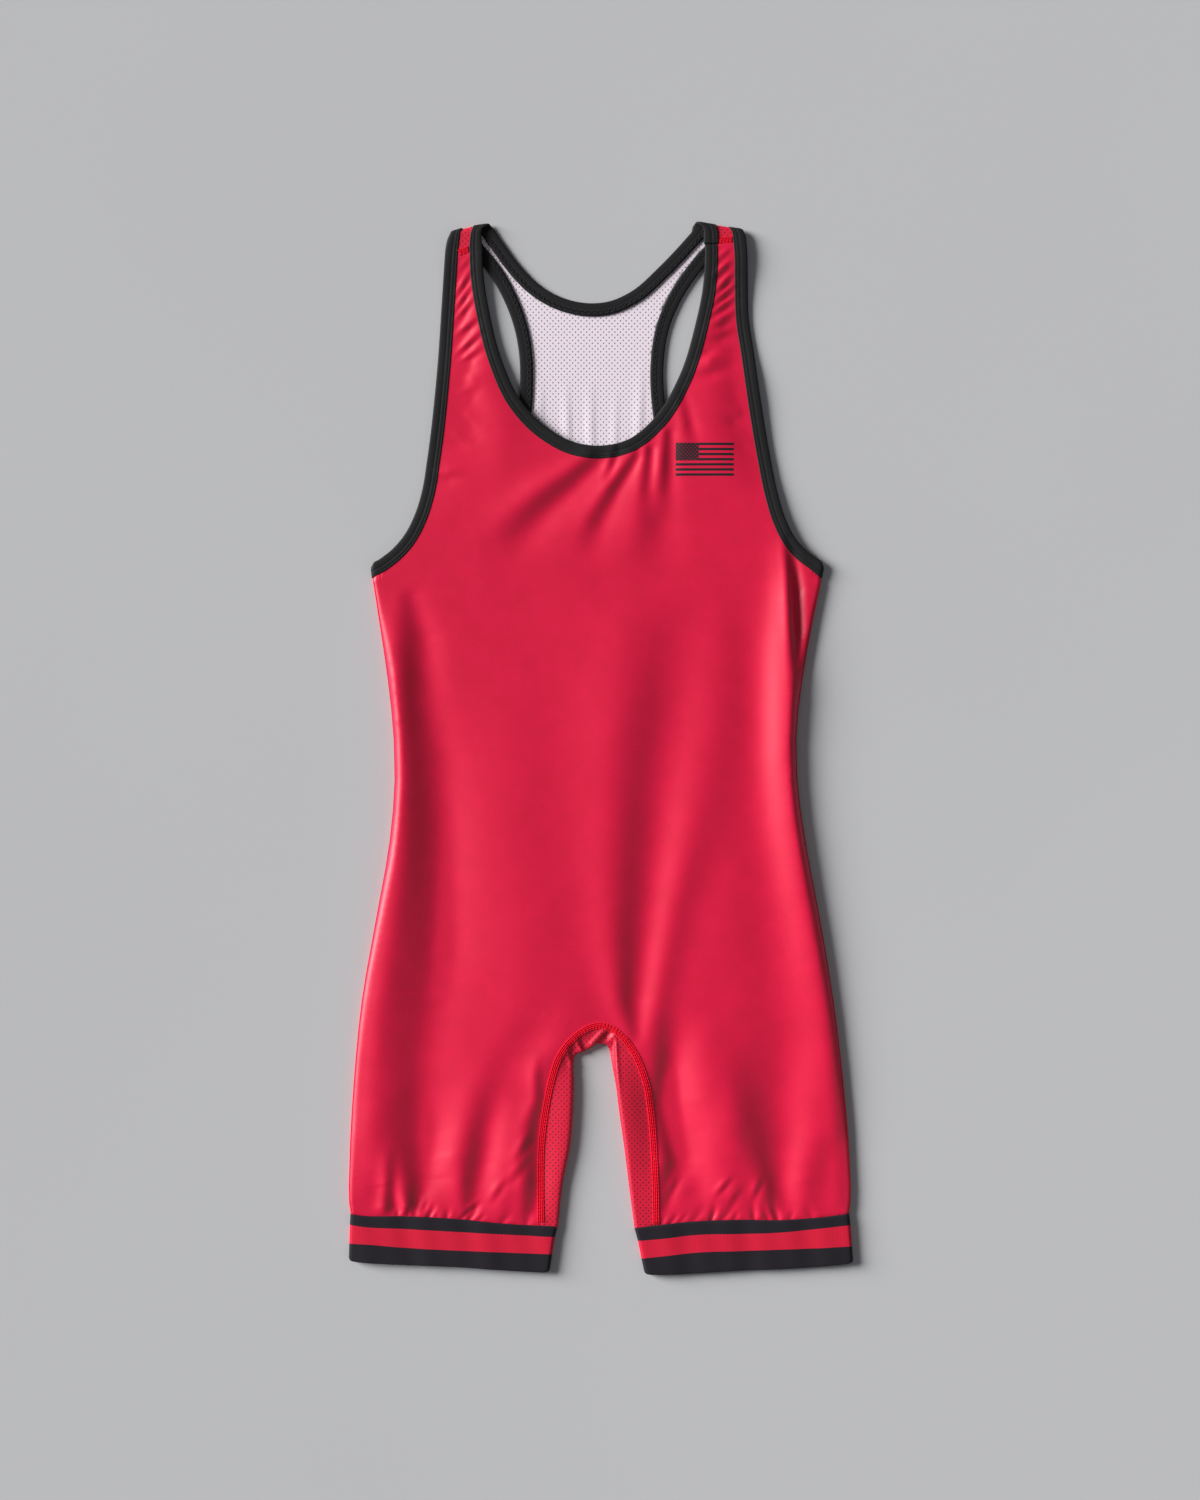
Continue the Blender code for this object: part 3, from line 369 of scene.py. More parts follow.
# The lines across each cuff: x, top edge, start and end of the red stripe, bottom edge
CUFF_LINES = {
    "right": (
        (-203, -371.2, -379.9, -395.3, -409.2), (-190, -373, -381.9, -395.8, -410.6),
        (-160, -373.3, -383.4, -398.3, -412.2), (-113, -375.7, -386, -400.9, -414.1),
        (-80, -379, -387.8, -402.2, -416.5), (-49, -380.9, -389.4, -403.4, -418.2),
        (-33, -381.4, -390.2, -403.8, -418.8),
    ),
    "left": (
        (26, -382.9, -393.4, -407.8, -420), (47, -380.2, -391.6, -405.6, -420.2),
        (79, -377.2, -388.1, -402.2, -418.8), (111, -376.2, -387.6, -401.2, -416.8),
        (143, -376.4, -386.4, -400, -415.6), (175, -374.2, -383.2, -398.8, -413.6),
        (203, -370.6, -380, -397.2, -410.8),
    ),
}

# The section of a folded tape: share of the width from the cloth edge, height over the tape's plain face
TAPE_FACE = (
    (0, -0.5), (0.01, -0.2), (0.05, -0.02), (0.1, 0.03), (0.14, -0.05), (0.165, -0.22), (0.19, -0.05),
    (0.24, 0.05), (0.36, 0.05), (0.41, -0.05), (0.435, -0.22), (0.46, -0.05), (0.52, 0.06), (0.7, 0.08),
    (0.86, 0.02), (0.94, -0.12), (0.98, -0.38), (1, -1), (0.98, -1.62), (0.94, -1.88), (0.86, -2),
    (0.66, -2.04), (0.48, -2.02), (0.435, -1.9), (0.39, -2.02), (0.21, -2.02), (0.165, -1.9), (0.12, -2.02),
    (0, -1.8),
)

# Plane geometry.


def bend(start, end, leaving, arriving, t):
    """A curve between two places, at shares t of the way, which leaves and arrives in given directions."""
    curve = (2 * t**3 - 3 * t**2 + 1) * start + (t**3 - 2 * t**2 + t) * leaving
    return curve + (3 * t**2 - 2 * t**3) * end + (t**3 - t**2) * arriving


def smooth(rows, finer=1):
    """Sections on a smooth curve through the rows of a table, which ends in how many each row starts."""
    table = np.array(rows, float)
    points, counts = table[:, :-1], table[:, -1].astype(int) * finer
    knots = np.vstack([2 * points[0] - points[1], points, 2 * points[-1] - points[-2]])
    lengths = np.linalg.norm(np.diff(knots, axis=0), axis=1)[:, None]
    slopes = np.diff(knots, axis=0) / lengths
    tangents = (slopes[:-1] * lengths[1:] + slopes[1:] * lengths[:-1]) / (lengths[:-1] + lengths[1:])
    found = []
    for i, count in enumerate(counts[:-1]):
        t = np.arange(count)[:, None] / count
        leaving, arriving = tangents[i : i + 2] * lengths[i + 1]
        found.append(bend(points[i], points[i + 1], leaving, arriving, t))
    return np.vstack([*found, points[-1:]])


def distances(line):
    """How far along a line each of its points is."""
    return np.concatenate([[0], np.cumsum(np.linalg.norm(np.diff(line, axis=0), axis=1))])


def spaced(rows, step, ring=False):
    """The same line, or strip of lines, with its rows evenly this far apart."""
    rows = np.concatenate([rows, rows[:1]]) if ring else np.asarray(rows, float)
    measured = rows if rows.ndim == 2 else rows[:, rows.shape[1] // 3]
    along = distances(measured[:, :3])
    places = np.linspace(0, along[-1], max(2, round(along[-1] / step) + 1))
    found = np.stack([np.interp(places, along, column) for column in rows.reshape(len(rows), -1).T], axis=1)
    return found.reshape(len(places), *rows.shape[1:])[: -1 if ring else None]


def between(start, end, share):
    return np.asarray(start, float) * (1 - share) + np.asarray(end, float) * share


def direction(start, end):
    """The unit direction from one place to another, and the one to its left."""
    along = (end - start) / np.linalg.norm(end - start)
    return along, np.array((-along[1], along[0]))


def left_normals(path):
    """Unit directions to the left of a path, at each of its points."""
    ahead = np.gradient(path[:, :2], axis=0)
    ahead /= np.linalg.norm(ahead, axis=1)[:, None]
    return np.stack([-ahead[:, 1], ahead[:, 0]], axis=1)


def look_up(rows, up, column):
    """A column of a table whose first column falls, at any height."""
    table = smooth(rows)[::-1]
    return np.interp(up, table[:, 0], table[:, column])


def side_x(side, up):
    """A side seam's x at a height."""
    return look_up(SIDES, up, 1 if side == "right" else 2)


def inside_seams(points):
    """How far each point lies inside the nearer side seam."""
    across, up = points.T
    return np.minimum(across - side_x("right", up), side_x("left", up) - across)


def nearest_place(points, rows):
    """The nearest place on a line to each point, how far left of it the point is and how far past its end."""
    line = np.asarray(rows, float)
    starts, runs = line[:-1], np.diff(line, axis=0)
    flat = runs[:, :2]
    lengths = np.linalg.norm(flat, axis=1)
    found = []
    for part in np.array_split(points, len(points) // PORTION + 1):
        offset = part[:, None] - starts[:, :2]
        share = np.clip((offset * flat).sum(axis=2) / lengths**2, 0, 1)
        gap = offset - share[..., None] * flat
        distance = (gap**2).sum(axis=2)
        nearest = np.arange(len(part)), distance.argmin(axis=1)
        left = ((flat[:, 0] * gap[..., 1] - flat[:, 1] * gap[..., 0]) / lengths)[nearest]
        past = np.sqrt(np.maximum(distance[nearest] - left**2, 0))
        found.append(np.column_stack([(starts + share[..., None] * runs)[nearest], left, past]))
    found = np.concatenate(found)
    return found[:, :-2], found[:, -2], found[:, -1]


def clear_of(points, line):
    """The points of a net that don't lie too close to a line."""
    _, left, past = nearest_place(points, line)
    return points[np.hypot(left, past) > NET_MARGIN]


def inside(points, outline):
    """Which points are inside a closed outline, by how often a line from each crosses it."""
    x, y = points.T
    crossings = np.zeros(len(points), int)
    for (x0, y0), (x1, y1) in zip(outline, np.roll(outline, -1, axis=0)):
        straddles = (y0 > y) != (y1 > y)
        if straddles.any():
            crossings += straddles & (x < x0 + (y - y0) * (x1 - x0) / (y1 - y0))
    return crossings % 2 == 1


def lattice(outline, spacing):
    """A staggered net of points over an outline's box."""
    (left, low), (right, high) = outline.min(axis=0), outline.max(axis=0)
    rows = enumerate(np.arange(low, high, spacing * math.sqrt(0.75)))
    return np.array([(x, y) for i, y in rows for x in np.arange(left + i % 2 * spacing / 2, right, spacing)])


def shoulder_line(side):
    """The two ends of a strap's top edge, the direction along it and the way it faces."""
    arm_end, neck_end = (np.array(SHOULDERS[side][end]) for end in ("arm_end", "neck_end"))
    along, facing = direction(arm_end, neck_end)
    return arm_end, neck_end, along, facing * np.sign(facing[1])


CUFF_CURVES = {side: smooth([(*row, 8) for row in rows]) for side, rows in CUFF_LINES.items()}


def cuff_line(side, x, level):
    """The y of a line across a cuff: 0 is its top edge, 1 and 2 bound its stripe and 3 is its bottom edge."""
    table = CUFF_CURVES[side]
    low = min(int(level), 2)
    upper, lower = (np.interp(x, table[:, 0], table[:, column]) for column in (low + 1, low + 2))
    return upper * (low + 1 - level) + lower * (level - low)


# Heights.


def fold_rise(points, rows):
    """A rounded crest or trough along a line of places."""
    place, left, past = nearest_place(points, rows)
    return place[:, 3] * np.exp(-(left**2 + past**2) / place[:, 2] ** 2)


def step_rise(points, rows):
    """A soft step: high on the right of a line of places, low on its left, and level again further out."""
    place, left, past = nearest_place(points, rows)
    share = left / place[:, 2]
    return -place[:, 3] / 2 * share * np.exp((1 - share**2) / 2 - (past / place[:, 2]) ** 2)


def wrinkle_rise(points, wrinkle):
    """A short step that is deepest at its middle."""
    x0, y0, x1, y1, width, fall = wrinkle
    middle = (x0 + x1) / 2, (y0 + y1) / 2, width, fall
    return step_rise(points, ((x0, y0, width, fall / 4), middle, (x1, y1, width, fall / 4)))


def above_cuff(points):
    """How far each point lies above the cuff of its leg."""
    across, up = points.T
    return up - np.where(across < 0, cuff_line("right", across, 0), cuff_line("left", across, 0))


def gather_dip(points):
    """How far the puckers above the cuffs press the cloth down, with a low crest beside each."""
    dip = np.zeros(len(points))
    above = above_cuff(points)
    for place, lean, reach, width, depth in GATHERS:
        up = np.clip(above / reach, 0, 3)
        across = points[:, 0] - place - lean * np.sin(np.clip(up, 0, 1) * math.pi / 2)
        dip += depth * np.exp(-((across / (width * (1 + 0.5 * up))) ** 2) - 1.4 * up**2)
        dip -= 0.2 * depth * np.exp(-(((across - 2.2 * width) / (1.4 * width)) ** 2) - 1.8 * up**2)
    return dip


def ripple(points):
    """The faint unevenness of cloth that lies loose."""
    x, y = points.T
    waves = np.sin(x / 13.7 + 1.3 * np.sin(y / 41.0)) * np.sin(y / 29.0 + 0.8)
    return 0.10 * waves + 0.07 * np.sin((x + 0.6 * y) / 9.1 + 2.0) * np.sin(y / 17.3)


def below_shoulder(points):
    """How far each point lies below the shoulder seam of its strap."""
    across, up = points.T
    right, left = (np.interp(across, *shoulder_ends(side).T) for side in CUFFS)
    return np.where(across < 0, right, left) - up


def front_height(points):
    """The height of the front cloth's upper face over each point of the table."""
    points = np.asarray(points, float)[:, :2]
    level, lowest = (look_up(FRONT_LEVELS, points[:, 1], column) for column in (1, 2))
    free = level + ripple(points) - gather_dip(points)
    free += sum(fold_rise(points, rows) for rows in FOLDS.values())
    free += sum(step_rise(points, rows) for rows in STEPS.values())
    free += sum(wrinkle_rise(points, wrinkle) for wrinkle in WRINKLES)
    sides = np.where(points[:, 1] > ROLL_TOP, SIDE_ROLL, inside_seams(points))
    lowest = np.where(sides < SIDE_ROLL, np.maximum(lowest, SEAM_LEVEL + LEAST_ROLL), lowest)
    free = lowest + np.logaddexp(0, (free - lowest) * 4) / 4
    free = np.minimum(free, HEM_HEIGHT + 0.5 * np.maximum(above_cuff(points) + 0.5, 0))
    free = np.minimum(free, SHOULDER_HEIGHT + 0.4 * np.maximum(below_shoulder(points) - 2, 0))
    share = np.clip(sides / np.clip(free - SEAM_LEVEL, LEAST_ROLL, SIDE_ROLL), 0, 1)
    return SEAM_LEVEL + (free - SEAM_LEVEL) * np.sqrt(1 - (1 - share) ** 2)


def back_height(points):
    """The lower face of the back: on the table, lifted by soft folds, and curled up at the side seams."""
    points = np.asarray(points, float)[:, :2]
    short = np.clip(SEAM_LEVEL - inside_seams(points), 0, SEAM_LEVEL)
    short = np.where(points[:, 1] > ROLL_TOP, 0, short)
    lift = sum(step_rise(points, rows) for rows in BACK_STEPS.values())
    return SEAM_LEVEL - np.sqrt(SEAM_LEVEL**2 - short**2) + np.maximum(lift, 0)


# Outlines of the panels, which run in a little under the bindings and the cuffs.


def under_tape(path, cloth_side):
    return path + left_normals(path) * cloth_side * (BINDING_WIDTH / 2 - UNDER_TAPE)


def arm_edge(side):
    return under_tape(smooth(ARM_FRONT[side], 4), 1 if side == "right" else -1)


def neck_edge():
    return under_tape(smooth(NECK_FRONT, 4), -1)


def gusset_edge():
    return smooth(GUSSET, 3)[:, :2]


def shoulder_corners(side):
    """The ends of a shoulder seam on the front: at the armhole and at the neck."""
    return arm_edge(side)[0], neck_edge()[0 if side == "right" else -1]


def shoulder_ends(side):
    """The same ends, the right one first."""
    return np.array(sorted(shoulder_corners(side), key=lambda corner: corner[0]))


def side_points(side, inset=0.0):
    """A side seam from the underarm down to the hem, or a line this far inside it."""
    inward = 1 if side == "right" else -1
    up = smooth(SIDES, 6)[:, 0]
    up[0] += UNDER_TAPE + 0.75 * inset
    up[-1] = cuff_line(side, side_x(side, up[-1]) + inward * inset, 0) - UNDER_CUFF
    return np.stack([side_x(side, up) + inward * inset, up], axis=1)


def side_outline(side, insets):
    """The outline of a panel down a side seam, with the ends of the lines that shape its roll."""
    lines = [side_points(side, inset) for inset in insets]
    return [line[0] for line in lines[::-1]] + list(side_points(side)) + [line[-1] for line in lines]


def hem_points(side, step):
    """The edge of a leg at its cuff, from the gusset to the roll."""
    inner = gusset_edge()[0 if side == "right" else -1][0]
    outer = side_points(side, SIDE_ROLL)[-1][0]
    across = np.linspace(inner, outer, round(abs(outer - inner) / step))[1:-1]
    return np.stack([across, cuff_line(side, across, 0) - UNDER_CUFF], axis=1)


def lower_outline(insets, step):
    """The outline of a panel below the arms: down the right side, round both legs and up the left side."""
    down, up = side_outline("right", insets), side_outline("left", insets)[::-1]
    return down, hem_points("right", step)[::-1], gusset_edge(), hem_points("left", step), up


def joined(*lines):
    """One outline from several, without repeats where they meet."""
    points = [np.asarray(point, float) for line in lines for point in line]
    return np.array([p for p, q in zip(points, points[-1:] + points[:-1]) if np.linalg.norm(p - q) > 0.02])


def front_outline():
    lower = lower_outline(FRONT_INSETS, FINE_SPACING)
    return joined(arm_edge("right"), *lower, arm_edge("left")[::-1], neck_edge()[::-1])


def unfolded(point, side):
    """Where a point of a strap's front lies when the strap is opened flat, upwards from the back."""
    arm_end, _, _, facing = shoulder_line(side)
    below = (arm_end - facing * FOLD_RADIUS - point) @ facing
    return point + facing * (2 * below + math.pi * FOLD_RADIUS)


def strap_outline(side):
    """The opened end of a strap beyond the back's own edges, from the arm side round to the neck side."""
    arm_end, neck_end, along, facing = shoulder_line(side)
    arm = between(arm_end, neck_end, SHOULDERS[side]["arm"]) - along * UNDER_TAPE
    neck = between(neck_end, arm_end, SHOULDERS[side]["neck"]) + along * UNDER_TAPE
    over = [facing * FOLD_RADIUS * (math.pi * k / 12 - 1) for k in range(13)]
    corners = [unfolded(corner, side) for corner in shoulder_corners(side)]
    ends = spaced([arm + over[-1], *corners, neck + over[-1]], 1.5)[1:-1]
    return [*[arm + place for place in over], *ends, *[neck + place for place in over[::-1]]]


def back_outline():
    right_arm = under_tape(smooth(ARM_BACK["right"], 3), -1)[::-1]
    left_arm = under_tape(smooth(ARM_BACK["left"], 3), 1)
    neck = under_tape(smooth(NECK_BACK, 3), 1)
    lower = lower_outline(BACK_INSETS, BACK_SPACING)
    return joined(strap_outline("right")[::-1], right_arm, *lower, left_arm, strap_outline("left"), neck)


# Meshes.


def sheet(outline, spacing, finely, sections):
    """Points and triangles of a flat sheet, on its sections and on a net that is finer in some places."""
    coarse, fine = lattice(outline, spacing), lattice(outline, FINE_SPACING)
    net = np.vstack([coarse[~finely(coarse)], fine[finely(fine)]])
    net = clear_of(net[inside(net, outline)], np.vstack([outline, outline[:1]]))
    rim = len(outline)
    edges = [(i, (i + 1) % rim) for i in range(rim)]
    points = list(outline)
    for section in sections:
        net = clear_of(net, section)
        edges += [(len(points) + i, len(points) + i + 1) for i in range(len(section) - 1)]
        points += list(section)
    found = delaunay_2d_cdt([tuple(p) for p in [*points, *net]], edges, [tuple(range(rim))], 1, 1e-6)
    return np.array([tuple(p) for p in found[0]]), found[2]


def grid_faces(rows, columns, outward=1, ring_rows=False, ring_columns=False):
    """The four-sided faces of a net of sections, closed round on itself where asked."""
    faces = []
    for i in range(rows if ring_rows else rows - 1):
        for j in range(columns if ring_columns else columns - 1):
            i2, j2 = (i + 1) % rows, (j + 1) % columns
            faces.append((i * columns + j, i2 * columns + j, i2 * columns + j2, i * columns + j2)[::outward])
    return faces


def grid_normals(grid, outward=1):
    """Unit directions square to a strip, out of its face."""
    normal = np.cross(np.gradient(grid, axis=0), np.gradient(grid, axis=1)) * outward
    return normal / (np.linalg.norm(normal, axis=2)[..., None] + 1e-9)


def linked(name, data):
    """An object in the scene with this mesh, light or camera."""
    made = bpy.data.objects.new(name, data)
    bpy.context.scene.collection.objects.link(made)
    return made


def new_piece(name, points, faces, looks):
    """A named piece from points in millimetres, which rides on the garment and takes one of its finishes."""
    mesh = bpy.data.meshes.new(name)
    mesh.from_pydata((np.asarray(points, float).reshape(-1, 3) * MM).tolist(), [], faces)
    mesh.shade_smooth()
    for look in looks:
        mesh.materials.append(look)
    made = linked(name, mesh)
    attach(made, "root")
    return made


def thicken(made, wall, inside_look=0):
    """Gives a sheet its wall, inwards from its outer face."""
    solidify = made.modifiers.new("wall", "SOLIDIFY")
    solidify.thickness = wall * MM
    solidify.offset = -1
    solidify.material_offset = inside_look


def threads(name, lines, radius, look, beaded=True):
    """Sewing thread along lines of points with their upward directions, thin where a stitch goes in."""
    turns = [2 * math.pi * turn / THREAD_SIDES for turn in range(THREAD_SIDES)]
    points, faces = [], []
    for line, upward in lines:
        across = np.cross(np.gradient(line, axis=0), upward)
        across /= np.linalg.norm(across, axis=1)[:, None] + 1e-9
        size = np.where(np.arange(len(line)) % 4 == 0, 0.35, 1.0) if beaded else np.ones(len(line))
        reach = (radius * size)[:, None]
        ring = [(math.cos(turn) * across + math.sin(turn) * upward) * reach for turn in turns]
        tube = grid_faces(len(line), THREAD_SIDES, ring_columns=True)
        last = len(line) * THREAD_SIDES - 1
        tube += [range(THREAD_SIDES), range(last, last - THREAD_SIDES, -1)]
        faces += [tuple(len(points) + i for i in face) for face in tube]
        points += list((line[:, None] + np.stack(ring, axis=1)).reshape(-1, 3))
    return new_piece(name, points, faces, [look])


def zigzag(grid, normals, first, second, pitch, lift):
    """A thread that goes to and fro between two columns of a strip, as a ladder."""
    along = distances(grid[:, first])
    places = np.arange(0, along[-1], pitch / 4)
    index = np.interp(places, along, np.arange(len(grid)))
    low = np.minimum(index.astype(int), len(grid) - 2)
    part = (index - low)[:, None]
    share = np.abs((np.arange(len(places)) / 2) % 4 - 2) / 2
    share = np.clip(share * 1.5 - 0.25, 0, 1)[:, None]

    def across(values):
        start, end = (between(values[low, k], values[low + 1, k], part) for k in (first, second))
        return between(start, end, share)

    upward = across(normals)
    return across(grid) + upward * lift, upward


def along_columns(grid, normals, columns, lift):
    """Threads that run along columns of a strip, this far out of it."""
    return [(grid[:, k] + normals[:, k] * lift, normals[:, k]) for k in columns]


# Materials.


def srgb(red, green, blue):
    """A colour as a screen shows it, from 0 to 255, turned into the shader's own linear one."""
    scaled = [value / 255 for value in (red, green, blue)]
    return (*[v / 12.92 if v <= 0.04045 else ((v + 0.055) / 1.055) ** 2.4 for v in scaled], 1.0)


class Look:
    """A Principled material with short ways to add nodes that work on the object's own coordinates."""

    def __init__(self, name, colour, roughness, sheen=0.0, nap=0.5, specular=0.5):
        self.made = bpy.data.materials.new(name)
        self.made.use_nodes = True
        self.made.diffuse_color = colour
        self.tree = self.made.node_tree
        self.shader = self.tree.nodes["Principled BSDF"]
        self.set(self.shader, {"Base Color": colour, "Roughness": roughness, "Specular IOR Level": specular})
        self.set(self.shader, {"Sheen Weight": sheen, "Sheen Roughness": nap})

    def set(self, node, values):
        for socket, value in values.items():
            if isinstance(value, bpy.types.NodeSocket):
                self.tree.links.new(value, node.inputs[socket])
            else:
                node.inputs[socket].default_value = value

    def node(self, kind, values, output=0, **settings):
        made = self.tree.nodes.new(kind)
        for setting, value in settings.items():
            setattr(made, setting, value)
        self.set(made, values)
        return made.outputs[output]

    def place(self, scale=(1, 1, 1), turn=0.0):
        """The object's coordinates in metres, scaled and turned about z."""
        where = self.tree.nodes.new("ShaderNodeTexCoord").outputs["Object"]
        return self.node("ShaderNodeMapping", {0: where, "Scale": scale, "Rotation": (0, 0, turn)})

    def math(self, operation, first, second=0.0, third=0.0):
        return self.node("ShaderNodeMath", {0: first, 1: second, 2: third}, operation=operation)

    def times(self, first, second):
        return self.math("MULTIPLY", first, second)

    def noise(self, size, detail=2.0):
        """Cloudy noise from 0 to 1, with spots this many millimetres across."""
        values = {"Vector": self.place(), "Scale": 1 / (size * MM), "Detail": detail}
        return self.node("ShaderNodeTexNoise", values)

    def wave(self, pitch, direction, wobble=0.0):
        """Bands from 0 to 1 across a direction, this many millimetres apart."""
        scale = math.pi / 10 / (pitch * MM)
        values = {"Vector": self.place(), "Scale": scale, "Distortion": wobble, "Detail": 1}
        return self.node("ShaderNodeTexWave", values, 1, bands_direction=direction)

    def dots(self, pitch, size):
        """1 in the round dots of staggered rows and 0 between them."""
        turned = self.place((1, 1, 0), math.pi / 4)
        cell = pitch / math.sqrt(2) * MM
        corner = self.node("ShaderNodeVectorMath", {0: turned, 1: (cell, cell, 1.0)}, operation="SNAP")
        middle = self.node("ShaderNodeVectorMath", {0: corner, 1: (cell / 2, cell / 2, 0)}, operation="ADD")
        away = self.node("ShaderNodeVectorMath", {0: middle, 1: turned}, 1, operation="DISTANCE")
        return self.node("ShaderNodeMapRange", {0: away, 1: size * 0.62 * MM, 2: size * 0.38 * MM})

    def mix(self, share, first, second):
        made = self.tree.nodes.new("ShaderNodeMix")
        made.data_type = "RGBA"
        self.set(made, {0: share, 6: first, 7: second})
        return made.outputs[2]

    def colour(self, value):
        self.set(self.shader, {"Base Color": value})

    def bump(self, height, distance, strength=1.0):
        """Relief of this many millimetres, added over any that is already there."""
        values = {"Height": height, "Distance": distance * MM, "Strength": strength}
        there = self.shader.inputs["Normal"].links
        if there:
            values["Normal"] = there[0].from_socket
        self.set(self.shader, {"Normal": self.node("ShaderNodeBump", values)})


def flag_print(look):
    """1 where the flag is printed dark: its odd stripes, and its field but for the paler stars."""
    split = look.node("ShaderNodeSeparateXYZ", {0: look.place((1 / MM, 1 / MM, 1 / MM))}).node
    across = look.math("SUBTRACT", split.outputs[0], FLAG["left"])
    down = look.math("SUBTRACT", FLAG["top"], split.outputs[1])
    stripe_height = FLAG["height"] / FLAG["stripes"]
    field_height = stripe_height * FLAG["field stripes"]

    def within(value, high):
        return look.times(look.math("GREATER_THAN", value, 0.0), look.math("LESS_THAN", value, high))

    def alternate(value):
        return look.math("LESS_THAN", look.math("FLOORED_MODULO", value, 2.0), 1.0)

    def from_middle(cell, scale):
        offset = look.math("SUBTRACT", look.math("FRACT", cell), 0.5)
        return look.math("POWER", look.times(offset, scale), 2.0)

    whole = look.times(within(across, FLAG["width"]), within(down, FLAG["height"]))
    stripe = alternate(look.math("DIVIDE", down, stripe_height))
    field = look.times(within(across, FLAG["field width"]), within(down, field_height))
    row = look.math("DIVIDE", down, field_height / FLAG["star rows"])
    column = look.math("DIVIDE", across, FLAG["field width"] / FLAG["star columns"])
    column = look.math("ADD", column, look.times(alternate(row), 0.5))
    star = look.math("LESS_THAN", look.math("ADD", from_middle(column, 1.0), from_middle(row, 0.51)), 0.04)
    lit = look.times(look.times(field, star), 0.3)
    return look.times(whole, look.math("SUBTRACT", look.math("MAXIMUM", stripe, field), lit))


def satin_red():
    """Smooth stretch knit with a soft shine, fine rows of loops and the flag print."""
    look = Look("red_satin_knit", srgb(218, 2, 56), 0.45, sheen=0.02, nap=0.35, specular=0.55)
    look.set(look.shader, {"Sheen Tint": srgb(255, 150, 170)})
    cloudy = look.math("MULTIPLY_ADD", look.noise(16.0), 0.5, look.times(look.noise(1.1, 3), 0.5))
    cloth = look.mix(cloudy, srgb(197, 1, 47), srgb(233, 9, 69))
    ink = look.mix(look.noise(1.2), srgb(24, 18, 26), srgb(36, 24, 34))
    look.colour(look.mix(flag_print(look), cloth, ink))
    look.bump(look.wave(0.9, "Y"), 0.03, 0.5)
    look.bump(look.wave(0.7, "X"), 0.02, 0.4)
    look.bump(look.noise(1.8, 3), 0.05, 0.5)
    return look.made


def mesh_red():
    """Perforated stretch mesh seen from outside, its holes painted dark red as painted shade."""
    look = Look("red_mesh", srgb(196, 16, 54), 0.5, sheen=0.08, nap=0.4)
    shaded_holes = look.dots(MESH_PITCH, MESH_HOLE)
    cloth = look.mix(look.noise(2.2), srgb(206, 6, 48), srgb(226, 14, 60))
    # Dark red in the holes is painted shade, the shadow inside each hole.
    look.colour(look.mix(shaded_holes, cloth, srgb(84, 2, 18)))
    look.bump(look.math("SUBTRACT", 1.0, shaded_holes), 0.12, 0.5)
    look.bump(look.noise(0.7, 3), 0.03, 0.5)
    return look.made


def mesh_inside():
    """The pale inner face of the mesh, with the red showing through its holes, darkened there as painted
    shade.
    """
    look = Look("pale_mesh", srgb(232, 220, 230), 0.7, sheen=0.15)
    shaded_holes = look.dots(MESH_PITCH, MESH_HOLE)
    cloth = look.mix(look.dots(MESH_PITCH / 3, 0.6), srgb(236, 225, 233), srgb(227, 213, 223))
    # The mauve in the holes is the red showing through, partly darkened as painted shade.
    look.colour(look.mix(shaded_holes, cloth, srgb(150, 92, 114)))
    look.bump(look.math("SUBTRACT", 1.0, shaded_holes), 0.2, 0.8)
    look.bump(look.noise(0.8, 3), 0.03, 0.5)
    return look.made


def tape_black():
    """Folded elastic tape, matte and finely grained."""
    look = Look("black_tape", srgb(14, 14, 16), 0.68, sheen=0.03, specular=0.3)
    look.colour(look.mix(look.noise(1.4, 3), srgb(10, 10, 12), srgb(22, 21, 23)))
    look.bump(look.noise(0.55, 3), 0.05, 0.7)
    return look.made


def tape_lap_shade():
    """Painted shade for the cut end of the neck tape: near-black, standing in for the shadow line where the
    tape laps.
    """
    look = Look("tape_cut_shade", srgb(5, 5, 6), 0.9, specular=0.1)
    look.colour(look.mix(look.noise(0.7, 3), srgb(3, 3, 4), srgb(9, 9, 10)))
    return look.made


def elastic(name, dark, pale):
    """Knitted elastic of the cuffs, with fine upright ribs."""
    look = Look(name, pale, 0.78, sheen=0.04, specular=0.3)
    ribs = look.wave(1.1, "X", 0.3)
    grain = look.math("MULTIPLY_ADD", ribs, 0.4, look.times(look.noise(1.5), 0.6))
    look.colour(look.mix(grain, dark, pale))
    look.bump(ribs, 0.05, 0.6)
    look.bump(look.wave(0.8, "Y"), 0.03, 0.4)
    return look.made


def thread(name, dark, pale):
    """Twisted sewing thread."""
    look = Look(name, pale, 0.78, sheen=0.06, specular=0.2)
    look.colour(look.mix(look.noise(0.6), dark, pale))
    look.bump(look.wave(0.4, "DIAGONAL"), 0.04, 0.6)
    return look.made


# Panels.


def creased(points):
    """Where the front is creased most finely: the chest, the straps, by the armholes and at the hems."""
    across, up = points.T
    return (up > 205) | (up < -342) | ((up > 85) & (np.abs(across) > 108))


def make_front(look):
    sections = [side_points(side, inset) for side in CUFFS for inset in FRONT_INSETS]
    flat, faces = sheet(front_outline(), FRONT_SPACING, creased, sections)
    made = new_piece("front_cloth", np.column_stack([flat, front_height(flat)]), faces, [look])
    thicken(made, CLOTH)
    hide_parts("front_panel")
    return made


